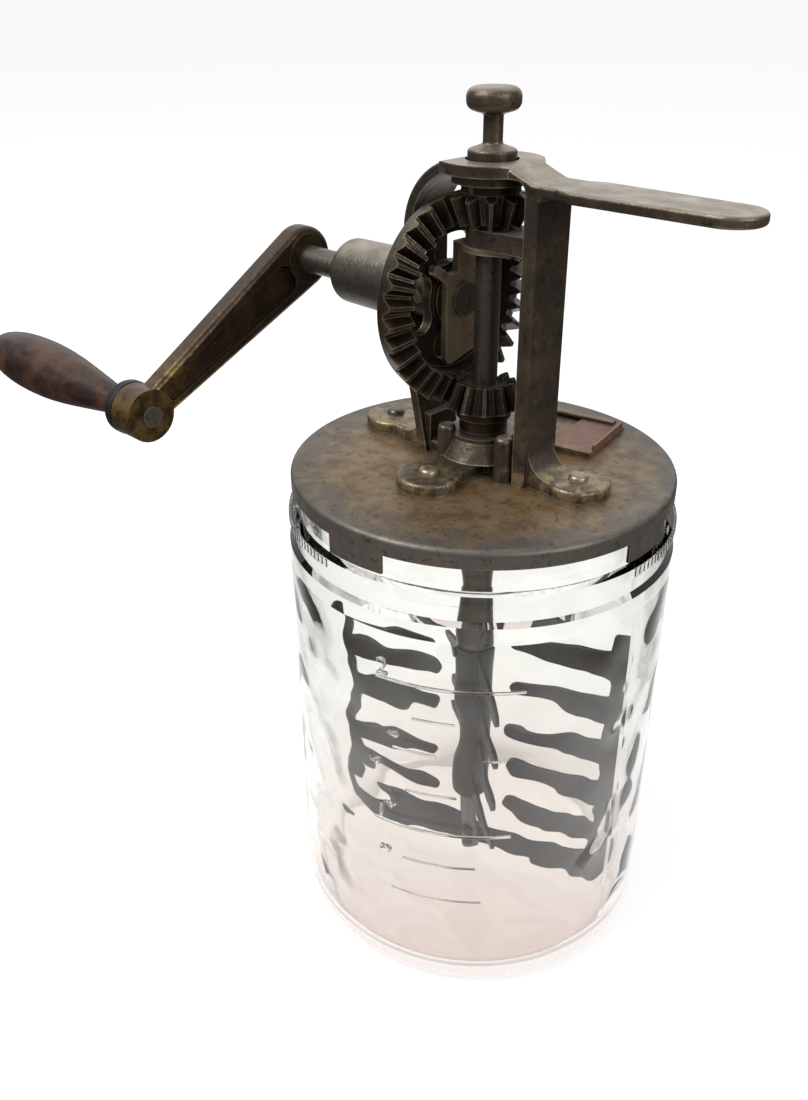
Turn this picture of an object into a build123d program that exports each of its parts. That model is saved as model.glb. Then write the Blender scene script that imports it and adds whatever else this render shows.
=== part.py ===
from build123d import *
import os
from math import acos, atan, cos, degrees, hypot, pi, radians, sin, tan

os.makedirs("parts", exist_ok=True)

# Hand-cranked mixer jar. Millimetres, +Z up, jar axis on Z, base on Z = 0.
# The crank axle points along -X, the carrying handle along +X.

# ---- Glass jar ----
jar_height = 181.8
jar_body_r = 66.5
jar_wall = 4.2
jar_floor = 4.5
jar_heel = 8.0
neck_step = 3.5
neck_wall = 4.5
neck_height = 13.3
shoulder_ring_h = 3.5
ring_step = 0.2
groove_depth = 1.7
groove_h = 5.0
bead_h = 2.4
slope_run = 1.2
rim_round = 1.6

# ---- Lid ----
lid_seat_gap = 0.2
lid_sheet = 1.0
lid_side_gap = 1.0
lid_edge_round = 2.0
skirt_drop = 6.0
tab_drop = 12.5
tab_half_angle = 9.5
tab_azimuth = 4.0
tab_count = 4

# ---- Fits ----
press_gap = 0.04
running_gap = 0.08
side_play = 0.3

# ---- Bevel gears ----
gear_module = 2.1
gear_teeth = 32
pinion_teeth = 11
tooth_face = 9.0
pressure_angle = 25.0
addendum_ratio = 0.9
dedendum_ratio = 1.15
backlash = 0.25
flank_steps = 4
cut_margin = 1.2
gear_rim_t = 3.7
gear_web_t = 3.5
gear_hub_r = 10.0
gear_hub_front = 1.5
gear_hub_back = 7.3
window_count = 4
window_half_angle = 18.0
window_edge = 1.5
rim_inner_land = 2.7
pinion_back_t = 2.6
pinion_neck_step = 0.2
lower_hub_r = 8.0
lower_hub_h = 4.2

# ---- Shafts ----
axle_r = 4.8
spindle_r = 4.05
sleeve_wall = 1.62
bush_wall = 1.37
bush_flange = 2.4
bush_flange_t = 2.8
bush_proud = 0.5
gear_pin_r = 1.6
pinion_pin_r = 0.7

# ---- Frame casting ----
frame_width = 17.0
left_upright_t = 4.0
right_upright_t = 4.5
right_upright_x = 19.7
bridge_t = 3.4
corner_r = 24.0
lean_bend_r = 12.0
handle_bend_r = 6.0
bridge_boss_r = 12.0
bridge_boss_t = 3.1
bridge_bulge_r = 15.75
bridge_flat_x = 12.0
handle_step = 3.9
handle_slope_x = 10.0
handle_end_x = 88.5
handle_root_x = 36.0
handle_root_r = 10.4
handle_tip_r = 9.5
lean_foot_x = 22.0
lean_low_h = 17.0
lean_low_x = 25.8
lean_top_h = 30.0
frame_edge_round = 1.1
base_boss_r = 11.0
base_boss_h = 11.5
pad_t = 4.0
pad_r = 10.5
rear_pad_r = 8.5
base_arm_r = 7.5
pad_edge_round = 1.4
left_foot_x = 44.2
right_foot_x = 37.6
side_foot_y = 3.0
front_foot_y = 26.5
rear_foot_y = 25.3
lug_r = 3.0
lug_round = 1.6
left_lug_h = 14.5
left_lug_x = 6.8
left_lug_y = 10.6
right_lug_h = 15.5
right_lug_x = 15.8
right_lug_y = 8.4
ramp_width = 13.0
ramp_r = 9.0
boss_skirt_r = 14.5
boss_skirt_h = 6.0
axle_boss_r = 11.6
axle_boss_end_r = 11.0
axle_boss_len = 35.0
axle_boss_round = 4.0
arm_ring_r = 7.4
arm_t = 5.8
arm_root_half = 6.0

# ---- Foot rivets ----
rivet_r = 2.0
rivet_head_r = 3.2
rivet_head_h = 1.8
rivet_head_round = 1.6
rivet_tail_r = 3.2
rivet_tail_h = 1.2

# ---- Axle bracket ----
bracket_t = 2.4
bracket_neck_half = 4.0
bracket_neck_y = 1.0
bracket_body_half = 8.5
bracket_body_y = 0.5
bracket_body_top = 9.0
bracket_body_low = 21.0
bracket_slant = 4.5
bracket_ear_r = 1.6
bracket_ear_y = 12.5
bracket_ear_z = 11.0
bracket_round = 2.0
bracket_flange_t = 1.8
bracket_rivet_r = 1.2
bracket_rivet_x = 8.0
bracket_rivet_head_r = 2.0
bracket_rivet_head_h = 0.9
axle_head_r = 5.6
axle_head_t = 1.3
axle_head_gap = 0.1

# ---- Crank ----
crank_gap = 21.8
collar_r = 7.0
collar_t = 1.6
crank_arm_t = 8.4
crank_arm_round = 2.2
crank_hub_r = 11.2
crank_hub_proud = 0.5
crank_tip_r = 5.6
crank_boss_r = 9.25
crank_boss_proud = 0.8
crank_length = 84.0
crank_drop_angle = 28.5
crank_recess = 2.0
crank_rail = 2.6
axle_tail = 1.4
grip_pin_r = 2.6
grip_pin_head_r = 3.6
grip_pin_head_t = 1.2
grip_pin_depth = 78.0
grip_gap = 0.3
ferrule_r = 9.5
ferrule_len = 4.0
ferrule_round = 0.8
grip_len = 89.5
grip_neck_r = 5.2
grip_bulge_r = 10.6
grip_shoulder_r = 8.0
grip_end_r = 7.6
grip_neck_ratio = 0.1
grip_bulge_ratio = 0.68
grip_shoulder_ratio = 0.95

# ---- Spindle, knob and dashers ----
knob_collar_r = 7.4
knob_collar_h = 4.5
knob_well_gap = 0.75
knob_well_depth = 2.2
knob_stem_r = 2.95
knob_stem_round = 1.0
knob_cap_r = 8.1
knob_cap_base = 15.6
knob_cap_h = 6.0
knob_cap_round = 2.8
knob_seat = 3.0
floor_gap = 2.0
dasher_sheet = 1.4
dasher_azimuth = 20.0
dasher_drop = 56.0
dasher_side_w = 5.0
dasher_mouth_gap = 2.5
dasher_corner_r = 9.0
dasher_bar_h = 13.0
spindle_below_bar = 2.5
finger_count = 5
top_finger_drop = 14.0
low_finger_rise = 13.0
finger_root_ratio = 0.62
finger_tip_ratio = 0.31
finger_tip_r = 14.0
dasher_rivet_r = 1.3
dasher_rivet_head_r = 2.6
dasher_rivet_head_h = 1.1
dasher_rivet_rows = 2
inner_azimuth = -38.0
inner_half_width = 41.0
inner_root_ratio = 0.51
inner_tip_ratio = 0.26
inner_spine_w = 2.4
saddle_wall = 1.1
saddle_below = 5.5
sleeve_rivet_r = 1.1
sleeve_rivet_head_r = 2.0
sleeve_rivet_head_h = 0.9

# ---- Filling hatch ----
hatch_mid_x = 14.7
hatch_mid_y = 40.1
hatch_turn = 12.0
hatch_w = 16.0
hatch_len = 29.0
hatch_t = 0.8
hatch_lift = 0.15
hatch_lip_h = 3.2
hatch_hole_w = 7.0
hatch_hole_len = 18.0
hatch_hole_shift = 3.5
rail_w = 3.4
rail_t = 0.9
rail_lip = 1.6
rail_play = 0.25
rail_round = 0.3
rail_back_lead = 12.0
rail_back_len = 24.0

# ---- Derived levels ----
lid_top = jar_height + lid_seat_gap + lid_sheet
lid_under = lid_top - lid_sheet
neck_r = jar_body_r - neck_step
shoulder_ring_r = jar_body_r - ring_step
lid_r = neck_r + lid_side_gap + lid_sheet
sleeve_r = spindle_r + running_gap + sleeve_wall
bush_bore = sleeve_r + running_gap
bush_r = bush_bore + bush_wall
mouth_r = neck_r - neck_wall

pitch_gear = gear_module * gear_teeth / 2
pitch_pinion = gear_module * pinion_teeth / 2
cone_far = hypot(pitch_gear, pitch_pinion)
cone_near = cone_far - tooth_face
cone_ratio = cone_near / cone_far
addendum = addendum_ratio * gear_module
dedendum = dedendum_ratio * gear_module
pinion_angle = atan(pinion_teeth / gear_teeth)
gear_angle = pi / 2 - pinion_angle


def cone_point(pitch_r, pitch_z, angle, rise):
    """Radius and height at the far end, `rise` above the pitch cone."""
    return pitch_r + rise * cos(angle), pitch_z - rise * sin(angle)


gear_tip = cone_point(pitch_gear, pitch_pinion, gear_angle, addendum)
gear_root = cone_point(pitch_gear, pitch_pinion, gear_angle, -dedendum)
pinion_tip = cone_point(pitch_pinion, pitch_gear, pinion_angle, addendum)
pinion_root = cone_point(pitch_pinion, pitch_gear, pinion_angle, -dedendum)

gear_back = gear_root[1] + gear_rim_t
gear_web_front = gear_back - gear_web_t
hub_front = gear_web_front - gear_hub_front
hub_back = gear_back + gear_hub_back
pinion_back = pinion_root[1] + pinion_back_t
pinion_front = pinion_root[1] * cone_ratio
pinion_hub_r = pinion_root[0] - pinion_neck_step

bush_top = lid_top + base_boss_h + bush_proud
gear_z = bush_top + side_play + lower_hub_h + pinion_back
boss_low = gear_z + pinion_back + side_play
bridge_low = boss_low + bridge_boss_t
bridge_top = bridge_low + bridge_t
handle_top = bridge_top - handle_step
left_inner = hub_back + side_play
left_outer = left_inner + left_upright_t
right_outer = right_upright_x + right_upright_t
boss_end = left_outer + axle_boss_len
arm_top = gear_z + pinion_tip[1] * cone_ratio - side_play
arm_low = arm_top - arm_t
bracket_outer = hub_front - side_play
bracket_inner = bracket_outer - bracket_t
bracket_top = arm_low
spindle_end = jar_floor + floor_gap


# ---- Glass jar ----
ledge_z = jar_height - neck_height
ring_low = ledge_z - shoulder_ring_h
groove_top = ring_low - slope_run
groove_low = groove_top - groove_h
bead_top = groove_low - slope_run
bead_low = bead_top - bead_h
body_top = bead_low - slope_run
waist_r = shoulder_ring_r - groove_depth
jar_inner_r = jar_body_r - jar_wall
inner_shoulder = body_top - jar_wall

with BuildPart() as glass_jar:
    with BuildSketch(Plane.XZ):
        with BuildLine():
            FilletPolyline(
                (0, 0),
                (jar_body_r, 0),
                (jar_body_r, body_top),
                (jar_body_r, bead_top),
                (waist_r, groove_low),
                (waist_r, groove_top),
                (shoulder_ring_r, ring_low),
                (shoulder_ring_r, ledge_z),
                (neck_r, ledge_z),
                (neck_r, jar_height),
                (mouth_r, jar_height),
                (mouth_r, ledge_z),
                (jar_inner_r, inner_shoulder),
                (jar_inner_r, jar_floor),
                (0, jar_floor),
                radius=(0, jar_heel, 0, 0, 0, 0, 0, 0, 0, rim_round, rim_round, 0, 0, jar_heel, 0),
                close=True,
            )
        make_face()
    revolve(axis=Axis.Z)
glass_jar.part.label = "glass_jar"
export_step(glass_jar.part, "parts/glass_jar.step")

# ---- Places shared by several pieces ----
feet = (
    ("left", -left_foot_x, side_foot_y, pad_r),
    ("right", right_foot_x, side_foot_y, pad_r),
    ("front", 0, -front_foot_y, pad_r),
    ("rear", 0, rear_foot_y, rear_pad_r),
)
hatch_low = lid_top + hatch_lift
hatch_angle = radians(hatch_turn)
hatch_plane = Plane(
    origin=(hatch_mid_x, hatch_mid_y, 0),
    x_dir=(cos(hatch_angle), sin(hatch_angle), 0),
    z_dir=(0, 0, 1),
)
rivet_hole_r = rivet_r + press_gap

tab_far = 2 * jar_body_r
tab_side = tab_far * tan(radians(tab_half_angle))

# ---- Lid cap ----
with BuildPart() as lid_cap:
    with BuildSketch(Plane.XZ):
        with BuildLine():
            FilletPolyline(
                (0, lid_top),
                (lid_r, lid_top),
                (lid_r, lid_top - skirt_drop),
                (lid_r - lid_sheet, lid_top - skirt_drop),
                (lid_r - lid_sheet, lid_under),
                (0, lid_under),
                radius=(0, lid_edge_round, 0, 0, lid_edge_round - lid_sheet, 0),
                close=True,
            )
        make_face()
    revolve(axis=Axis.Z)
    with BuildSketch(Plane.XY.offset(lid_top - tab_drop)):
        with PolarLocations(0, tab_count, start_angle=tab_azimuth):
            Polygon((0, 0), (tab_far, -tab_side), (tab_far, tab_side), align=None)
        Circle(lid_r, mode=Mode.INTERSECT)
        Circle(lid_r - lid_sheet, mode=Mode.SUBTRACT)
    extrude(amount=tab_drop - skirt_drop)
    with BuildSketch(Plane.XY.offset(lid_under - lid_sheet)):
        Circle(bush_r + press_gap)
        for side, foot_x, foot_y, foot_r in feet:
            with Locations((foot_x, foot_y)):
                Circle(rivet_hole_r)
    extrude(amount=3 * lid_sheet, mode=Mode.SUBTRACT)
    with BuildSketch(hatch_plane.offset(lid_under - lid_sheet)):
        with Locations((-hatch_hole_shift, 0)):
            SlotOverall(hatch_hole_len, hatch_hole_w, rotation=90)
    extrude(amount=3 * lid_sheet, mode=Mode.SUBTRACT)
lid_cap.part.label = "lid_cap"
export_step(lid_cap.part, "parts/lid_cap.step")

# ---- Base bush ----
with BuildPart() as sleeve_bush:
    with BuildSketch(Plane.XY.offset(lid_under - bush_flange_t)):
        Circle(bush_r + bush_flange)
    extrude(amount=bush_flange_t)
    with BuildSketch(Plane.XY.offset(lid_under - bush_flange_t)):
        Circle(bush_r)
    extrude(amount=bush_top - lid_under + bush_flange_t)
    with BuildSketch(Plane.XY.offset(lid_under - bush_flange_t)):
        Circle(bush_bore)
    extrude(amount=bush_top - lid_under + bush_flange_t, mode=Mode.SUBTRACT)
sleeve_bush.part.label = "sleeve_bush"
export_step(sleeve_bush.part, "parts/sleeve_bush.step")

# ---- Frame base: four arms with pads ----
with BuildPart() as frame_base:
    for side, foot_x, foot_y, foot_r in feet:
        with BuildSketch(Plane.XY.offset(lid_top)):
            with Locations((0, 0), (foot_x, foot_y)):
                Circle(base_arm_r)
            make_hull()
            with Locations((foot_x, foot_y)):
                Circle(foot_r)
        extrude(amount=pad_t)
    fillet(frame_base.edges().group_by(Axis.Z)[-1], pad_edge_round)

# ---- Axle boss ----
with BuildPart() as axle_boss:
    with BuildSketch(Plane.YZ.offset(-left_inner)):
        with Locations((0, gear_z)):
            Circle(axle_boss_r)
    with BuildSketch(Plane.YZ.offset(-boss_end)):
        with Locations((0, gear_z)):
            Circle(axle_boss_end_r)
    loft()
    fillet(axle_boss.edges().sort_by(Axis.X)[0], axle_boss_round)

# ---- Two cast lugs beside the middle boss ----
lugs = (
    (-left_lug_x, -left_lug_y, left_lug_h),
    (right_lug_x, -right_lug_y, right_lug_h),
)
with BuildPart() as cast_lugs:
    for lug_x, lug_y, lug_top in lugs:
        with BuildSketch(Plane.XY.offset(lid_top)):
            with Locations((lug_x, lug_y)):
                Circle(lug_r)
        extrude(amount=lug_top)
    fillet(cast_lugs.edges().filter_by(GeomType.CIRCLE).sort_by(Axis.Z)[-2:], lug_round)

# ---- Frame casting: uprights, bridge and handle in one profile ----
ramp_top = lid_top + pad_t + ramp_r
with BuildPart() as frame_casting:
    with BuildSketch(Plane.XZ):
        with BuildLine():
            FilletPolyline(
                (-lean_foot_x, lid_top),
                (-lean_low_x, lid_top + lean_low_h),
                (-left_outer, lid_top + lean_top_h),
                (-left_outer, bridge_top),
                (bridge_flat_x, bridge_top),
                (bridge_flat_x + handle_slope_x, handle_top),
                (handle_end_x, handle_top),
                (handle_end_x, handle_top - bridge_t),
                (right_outer, handle_top - bridge_t),
                (right_outer, lid_top),
                (right_upright_x, lid_top),
                (right_upright_x, bridge_low),
                (-left_inner, bridge_low),
                (-left_inner, lid_top + lean_top_h),
                (-lean_low_x + left_upright_t, lid_top + lean_low_h),
                (-lean_foot_x + left_upright_t, lid_top),
                radius=(
                    0, corner_r, lean_bend_r, corner_r, lean_bend_r, handle_bend_r,
                    0, 0, bridge_t / 2, 0,
                    0, bridge_t, corner_r - left_upright_t, lean_bend_r, corner_r, 0,
                ),
                close=True,
            )
        make_face()
    extrude(amount=bridge_bulge_r, both=True)
    with BuildSketch(Plane.XY.offset(lid_top)):
        with Locations((handle_root_x, 0)):
            Circle(handle_root_r)
        with Locations((handle_end_x - handle_tip_r, 0)):
            Circle(handle_tip_r)
        make_hull()
        with Locations((handle_root_x / 2 - left_outer / 2, 0)):
            Rectangle(handle_root_x + left_outer, frame_width)
        Circle(bridge_bulge_r)
    extrude(amount=bridge_top - lid_top, mode=Mode.INTERSECT)
    beyond_upright = (right_outer, handle_end_x)
    handle_edges = frame_casting.edges().filter_by_position(Axis.X, *beyond_upright)
    fillet(handle_edges, frame_edge_round)
    left_face = frame_casting.faces().filter_by(Axis.X).sort_by(Axis.X)[0]
    fillet(left_face.edges().filter_by(Axis.Z), frame_edge_round)
    add(frame_base.part)
    with BuildSketch(Plane.XY.offset(lid_top)):
        Circle(base_boss_r)
    extrude(amount=base_boss_h)
    # Skirt of the middle boss
    with BuildSketch(Plane.XY.offset(lid_top + pad_t)):
        Circle(boss_skirt_r)
    with BuildSketch(Plane.XY.offset(lid_top + pad_t + boss_skirt_h)):
        Circle(base_boss_r)
    loft()
    add(cast_lugs.part)
    # Curved ramps from both uprights down to their feet
    with BuildSketch(Plane.XZ):
        with BuildLine():
            Line((right_outer, ramp_top), (right_upright_x, ramp_top))
            Line((right_upright_x, ramp_top), (right_upright_x, lid_top))
            Line((right_upright_x, lid_top), (right_outer + ramp_r, lid_top))
            Line((right_outer + ramp_r, lid_top), (right_outer + ramp_r, lid_top + pad_t))
            CenterArc((right_outer + ramp_r, ramp_top), ramp_r, 180, 90)
        make_face()
    extrude(amount=ramp_width / 2, both=True)
    with BuildSketch(Plane.XZ):
        with BuildLine():
            Line((-lean_foot_x, ramp_top), (-lean_foot_x + left_upright_t, ramp_top))
            Line((-lean_foot_x + left_upright_t, ramp_top), (-lean_foot_x + left_upright_t, lid_top))
            Line((-lean_foot_x + left_upright_t, lid_top), (-lean_foot_x - ramp_r, lid_top))
            Line((-lean_foot_x - ramp_r, lid_top), (-lean_foot_x - ramp_r, lid_top + pad_t))
            CenterArc((-lean_foot_x - ramp_r, ramp_top), ramp_r, 270, 90)
        make_face()
    extrude(amount=ramp_width / 2, both=True)
    # Bearing arm for the spindle and the bracket
    with BuildSketch(Plane.XY.offset(arm_low)):
        Circle(arm_ring_r)
        with Locations((right_upright_x + right_upright_t / 2, 0)):
            Rectangle(right_upright_t / 2, 2 * arm_root_half)
        make_hull()
    extrude(amount=arm_t)
    # Axle boss
    add(axle_boss.part)
    # Bridge boss, knob well and bores
    with BuildSketch(Plane.XY.offset(boss_low)):
        Circle(bridge_boss_r)
    extrude(amount=bridge_boss_t)
    with BuildSketch(Plane.XY.offset(bridge_top - knob_well_depth)):
        Circle(knob_collar_r + knob_well_gap)
    extrude(amount=bridge_t, mode=Mode.SUBTRACT)
    with BuildSketch(Plane.XY.offset(arm_low)):
        Circle(spindle_r + running_gap)
    extrude(amount=bridge_top - arm_low, mode=Mode.SUBTRACT)
    with BuildSketch(Plane.XY.offset(lid_top)):
        Circle(bush_r + press_gap)
    extrude(amount=base_boss_h, mode=Mode.SUBTRACT)
    with BuildSketch(Plane.XY.offset(lid_top)):
        for side, foot_x, foot_y, foot_r in feet:
            with Locations((foot_x, foot_y)):
                Circle(rivet_hole_r)
    extrude(amount=2 * pad_t, mode=Mode.SUBTRACT)
    with BuildSketch(Plane.YZ.offset(-left_inner)):
        with Locations((0, gear_z)):
            Circle(axle_r + running_gap)
    extrude(amount=left_inner - boss_end, mode=Mode.SUBTRACT)
    with BuildSketch(Plane.XY.offset(arm_low)):
        with Locations((bracket_rivet_x, 0)):
            Circle(bracket_rivet_r + press_gap)
    extrude(amount=arm_t, mode=Mode.SUBTRACT)
frame_casting.part.label = "frame_casting"
export_step(frame_casting.part, "parts/frame_casting.step")

# ---- Foot rivets: head over the pad, tail under the lid ----
with BuildPart() as foot_rivet:
    with BuildSketch(Plane.XY.offset(lid_under - rivet_tail_h)):
        Circle(rivet_tail_r)
    extrude(amount=rivet_tail_h)
    with BuildSketch(Plane.XY.offset(lid_under)):
        Circle(rivet_r)
    extrude(amount=lid_sheet + pad_t)
    with BuildSketch(Plane.XY.offset(lid_top + pad_t)):
        Circle(rivet_head_r)
    extrude(amount=rivet_head_h)
    fillet(foot_rivet.edges().group_by(Axis.Z)[-1], rivet_head_round)

for side, foot_x, foot_y, foot_r in feet:
    placed_rivet = Pos(foot_x, foot_y, 0) * foot_rivet.part
    placed_rivet.label = "foot_rivet_" + side
    export_step(placed_rivet, "parts/foot_rivet_" + side + ".step")

# ---- Axle bracket: plate beside the gear, flange under the bearing arm ----
with BuildPart() as axle_bracket:
    with BuildSketch(Plane.YZ.offset(-bracket_outer)):
        with Locations(
            (-bracket_ear_y, gear_z + bracket_ear_z),
            (bracket_body_y - bracket_body_half / 2, gear_z + bracket_body_top / 2),
        ):
            Circle(bracket_ear_r)
        make_hull()
        with Locations((bracket_neck_y, (bracket_top + gear_z) / 2)):
            Rectangle(2 * bracket_neck_half, bracket_top - gear_z)
        with BuildLine():
            FilletPolyline(
                (bracket_body_y - bracket_body_half, gear_z - bracket_body_low),
                (bracket_body_y + bracket_body_half, gear_z - bracket_body_low + bracket_slant),
                (bracket_body_y + bracket_body_half, gear_z + bracket_body_top),
                (bracket_body_y - bracket_body_half, gear_z + bracket_body_top),
                radius=bracket_round,
                close=True,
            )
        make_face()
        with Locations((0, gear_z)):
            Circle(axle_r + running_gap, mode=Mode.SUBTRACT)
    extrude(amount=bracket_t)
    with BuildSketch(Plane.XY.offset(bracket_top - bracket_flange_t)):
        Circle(arm_ring_r)
        with Locations((-bracket_outer + bracket_t / 2, bracket_neck_y)):
            Rectangle(bracket_t, 2 * bracket_neck_half)
        with Locations((bracket_rivet_x, 0)):
            Circle(bracket_neck_half)
        make_hull()
        Circle(spindle_r + running_gap, mode=Mode.SUBTRACT)
        with Locations((bracket_rivet_x, 0)):
            Circle(bracket_rivet_r + press_gap, mode=Mode.SUBTRACT)
    extrude(amount=bracket_flange_t)
axle_bracket.part.label = "axle_bracket"
export_step(axle_bracket.part, "parts/axle_bracket.step")

with BuildPart() as bracket_rivet:
    with BuildSketch(Plane.XY.offset(bracket_top - bracket_flange_t)):
        with Locations((bracket_rivet_x, 0)):
            Circle(bracket_rivet_r)
    extrude(amount=bracket_flange_t + arm_t)
    with BuildSketch(Plane.XY.offset(bracket_top - bracket_flange_t - bracket_rivet_head_h)):
        with Locations((bracket_rivet_x, 0)):
            Circle(bracket_rivet_head_r)
    extrude(amount=bracket_rivet_head_h)
bracket_rivet.part.label = "bracket_rivet"
export_step(bracket_rivet.part, "parts/bracket_rivet.step")

# ---- Bevel teeth: involute gap outlines, narrowing toward the apex ----
tip_reach = addendum + cut_margin
gap_half = (pi * gear_module / 2 + backlash / 2) / 2
alpha = radians(pressure_angle)


def gap_outline(virtual_r, scale):
    """Both flanks of one tooth gap, measured from the pitch point."""
    base_r = virtual_r * cos(alpha)
    root_r = virtual_r - dedendum
    flank = []
    for step in range(flank_steps + 1):
        rho = root_r + step * (dedendum + tip_reach) / flank_steps
        roll = acos(min(1, base_r / rho))
        spread = gap_half / virtual_r - tan(alpha) + alpha + tan(roll) - roll
        flank.append((scale * rho * sin(spread), scale * (rho * cos(spread) - virtual_r)))
    return flank + [(-x, y) for x, y in reversed(flank)]


def gap_plane(distance, angle):
    """Section plane square to the pitch cone, `distance` from the apex."""
    along = (sin(angle), 0, cos(angle))
    return Plane(
        origin=(distance * along[0], 0, distance * along[2]), x_dir=(0, -1, 0), z_dir=along
    )


far_scale = 1 + cut_margin / tooth_face
near_scale = cone_ratio - cut_margin / cone_far
wheel_virtual_r = pitch_gear / cos(gear_angle)
pinion_virtual_r = pitch_pinion / cos(pinion_angle)

with BuildPart() as wheel_gap:
    for scale in (far_scale, near_scale):
        with BuildSketch(gap_plane(cone_far * scale, gear_angle)):
            Polygon(*gap_outline(wheel_virtual_r, scale), align=None)
    loft(ruled=True)

with BuildPart() as pinion_gap:
    for scale in (far_scale, near_scale):
        with BuildSketch(gap_plane(cone_far * scale, pinion_angle)):
            Polygon(*gap_outline(pinion_virtual_r, scale), align=None)
    loft(ruled=True)

# ---- Drive gear, drawn about +Z from the cone apex and then turned to -X ----
wheel_slope = tan(pinion_angle)
rim_back_r = gear_root[0] - (gear_back - gear_root[1]) * wheel_slope
near_tip = (gear_tip[0] * cone_ratio, gear_tip[1] * cone_ratio)
near_root = (gear_root[0] * cone_ratio, gear_root[1] * cone_ratio)
rim_inner_r = near_root[0] - (gear_web_front - near_root[1]) * wheel_slope
window_inner = gear_hub_r + window_edge
window_outer = rim_inner_r - rim_inner_land
window_arc = CenterArc(
    (0, 0), (window_inner + window_outer) / 2, -window_half_angle, 2 * window_half_angle
)

with BuildPart() as wheel_body:
    with BuildSketch(Plane.XZ):
        with BuildLine():
            Polyline(
                (axle_r + press_gap, hub_front),
                (gear_hub_r, hub_front),
                (gear_hub_r, gear_web_front),
                (rim_inner_r, gear_web_front),
                near_root,
                near_tip,
                gear_tip,
                gear_root,
                (rim_back_r, gear_back),
                (gear_hub_r, gear_back),
                (gear_hub_r, hub_back),
                (axle_r + press_gap, hub_back),
                close=True,
            )
        make_face()
    revolve(axis=Axis.Z)
    with PolarLocations(0, gear_teeth):
        add(wheel_gap.part, mode=Mode.SUBTRACT)
    with BuildSketch(Plane.XY.offset(gear_web_front)):
        with PolarLocations(0, window_count):
            SlotArc(window_arc, window_outer - window_inner)
    extrude(amount=gear_web_t, mode=Mode.SUBTRACT)
    with BuildSketch(Plane.XZ):
        with Locations((0, (gear_back + hub_back) / 2)):
            Circle(gear_pin_r + press_gap)
    extrude(amount=gear_hub_r, both=True, mode=Mode.SUBTRACT)

wheel_plane = Plane(origin=(0, 0, gear_z), x_dir=(0, 0, 1), z_dir=(-1, 0, 0))
with BuildPart() as drive_gear:
    with Locations(wheel_plane.location):
        add(wheel_body.part)
drive_gear.part.label = "drive_gear"
export_step(drive_gear.part, "parts/drive_gear.step")

pin_mid = (gear_back + hub_back) / 2
with BuildPart() as gear_pin:
    with BuildSketch(Plane.XZ):
        with Locations((-pin_mid, gear_z)):
            Circle(gear_pin_r)
    extrude(amount=gear_hub_r, both=True)
gear_pin.part.label = "gear_pin"
export_step(gear_pin.part, "parts/gear_pin.step")

# ---- Pinions ----
hub_join_z = pinion_root[1] + (pinion_root[0] - pinion_hub_r) * wheel_slope
pinion_pin_z = (hub_join_z + pinion_back) / 2
pinion_tip_near = (pinion_tip[0] * cone_ratio, pinion_tip[1] * cone_ratio)
pinion_root_near = (pinion_root[0] * cone_ratio, pinion_front)
pinions = (
    ("upper_pinion", spindle_r, 0, 1),
    ("lower_pinion", sleeve_r, lower_hub_h, -1),
)
for pinion_name, shaft_r, neck_len, side in pinions:
    with BuildPart() as pinion_body:
        with BuildSketch(Plane.XZ):
            with BuildLine():
                Polyline(
                    (shaft_r + press_gap, pinion_front),
                    pinion_root_near,
                    pinion_tip_near,
                    pinion_tip,
                    pinion_root,
                    (pinion_hub_r, hub_join_z),
                    (pinion_hub_r, pinion_back),
                    (shaft_r + press_gap, pinion_back),
                    close=True,
                )
            make_face()
        revolve(axis=Axis.Z)
        if neck_len:
            with BuildSketch(Plane.XY.offset(pinion_back)):
                Circle(lower_hub_r)
                Circle(shaft_r + press_gap, mode=Mode.SUBTRACT)
            extrude(amount=neck_len)
        with PolarLocations(0, pinion_teeth):
            add(pinion_gap.part, mode=Mode.SUBTRACT)
        if neck_len == 0:
            with BuildSketch(Plane.XZ):
                with Locations((0, pinion_pin_z)):
                    Circle(pinion_pin_r + press_gap)
            extrude(amount=pinion_tip[0], both=True, mode=Mode.SUBTRACT)
    pinion_plane = Plane(origin=(0, 0, gear_z), x_dir=(1, 0, 0), z_dir=(0, 0, side))
    with BuildPart() as pinion:
        with Locations(pinion_plane.location):
            add(pinion_body.part)
    pinion.part.label = pinion_name
    export_step(pinion.part, "parts/" + pinion_name + ".step")

with BuildPart() as pinion_pin:
    with BuildSketch(Plane.XZ):
        with Locations((0, gear_z + pinion_pin_z)):
            Circle(pinion_pin_r)
    extrude(amount=pinion_hub_r, both=True)
pinion_pin.part.label = "pinion_pin"
export_step(pinion_pin.part, "parts/pinion_pin.step")

# ---- Crank: axle, collar and arm ----
collar_start = boss_end + side_play
arm_start = boss_end + crank_gap
arm_end = arm_start + crank_arm_t
axle_start = bracket_inner - axle_head_gap
axle_end = arm_end + crank_hub_proud + axle_tail
drop = radians(crank_drop_angle)
arm_plane = Plane(
    origin=(-arm_start, 0, gear_z), x_dir=(0, -cos(drop), -sin(drop)), z_dir=(-1, 0, 0)
)
tip_y = -crank_length * cos(drop)
tip_z = gear_z - crank_length * sin(drop)

with BuildPart() as crank_axle:
    with BuildSketch(Plane.YZ.offset(-axle_start)):
        with Locations((0, gear_z)):
            Circle(axle_r)
    extrude(amount=axle_start - axle_end)
    fillet(crank_axle.edges().group_by(Axis.X)[0], axle_tail / 2)
    with BuildSketch(Plane.YZ.offset(-axle_start)):
        with Locations((0, gear_z)):
            Circle(axle_head_r)
    extrude(amount=axle_head_t)
    with BuildSketch(Plane.XZ):
        with Locations((-pin_mid, gear_z)):
            Circle(gear_pin_r + press_gap)
    extrude(amount=gear_hub_r, both=True, mode=Mode.SUBTRACT)
crank_axle.part.label = "crank_axle"
export_step(crank_axle.part, "parts/crank_axle.step")

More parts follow.
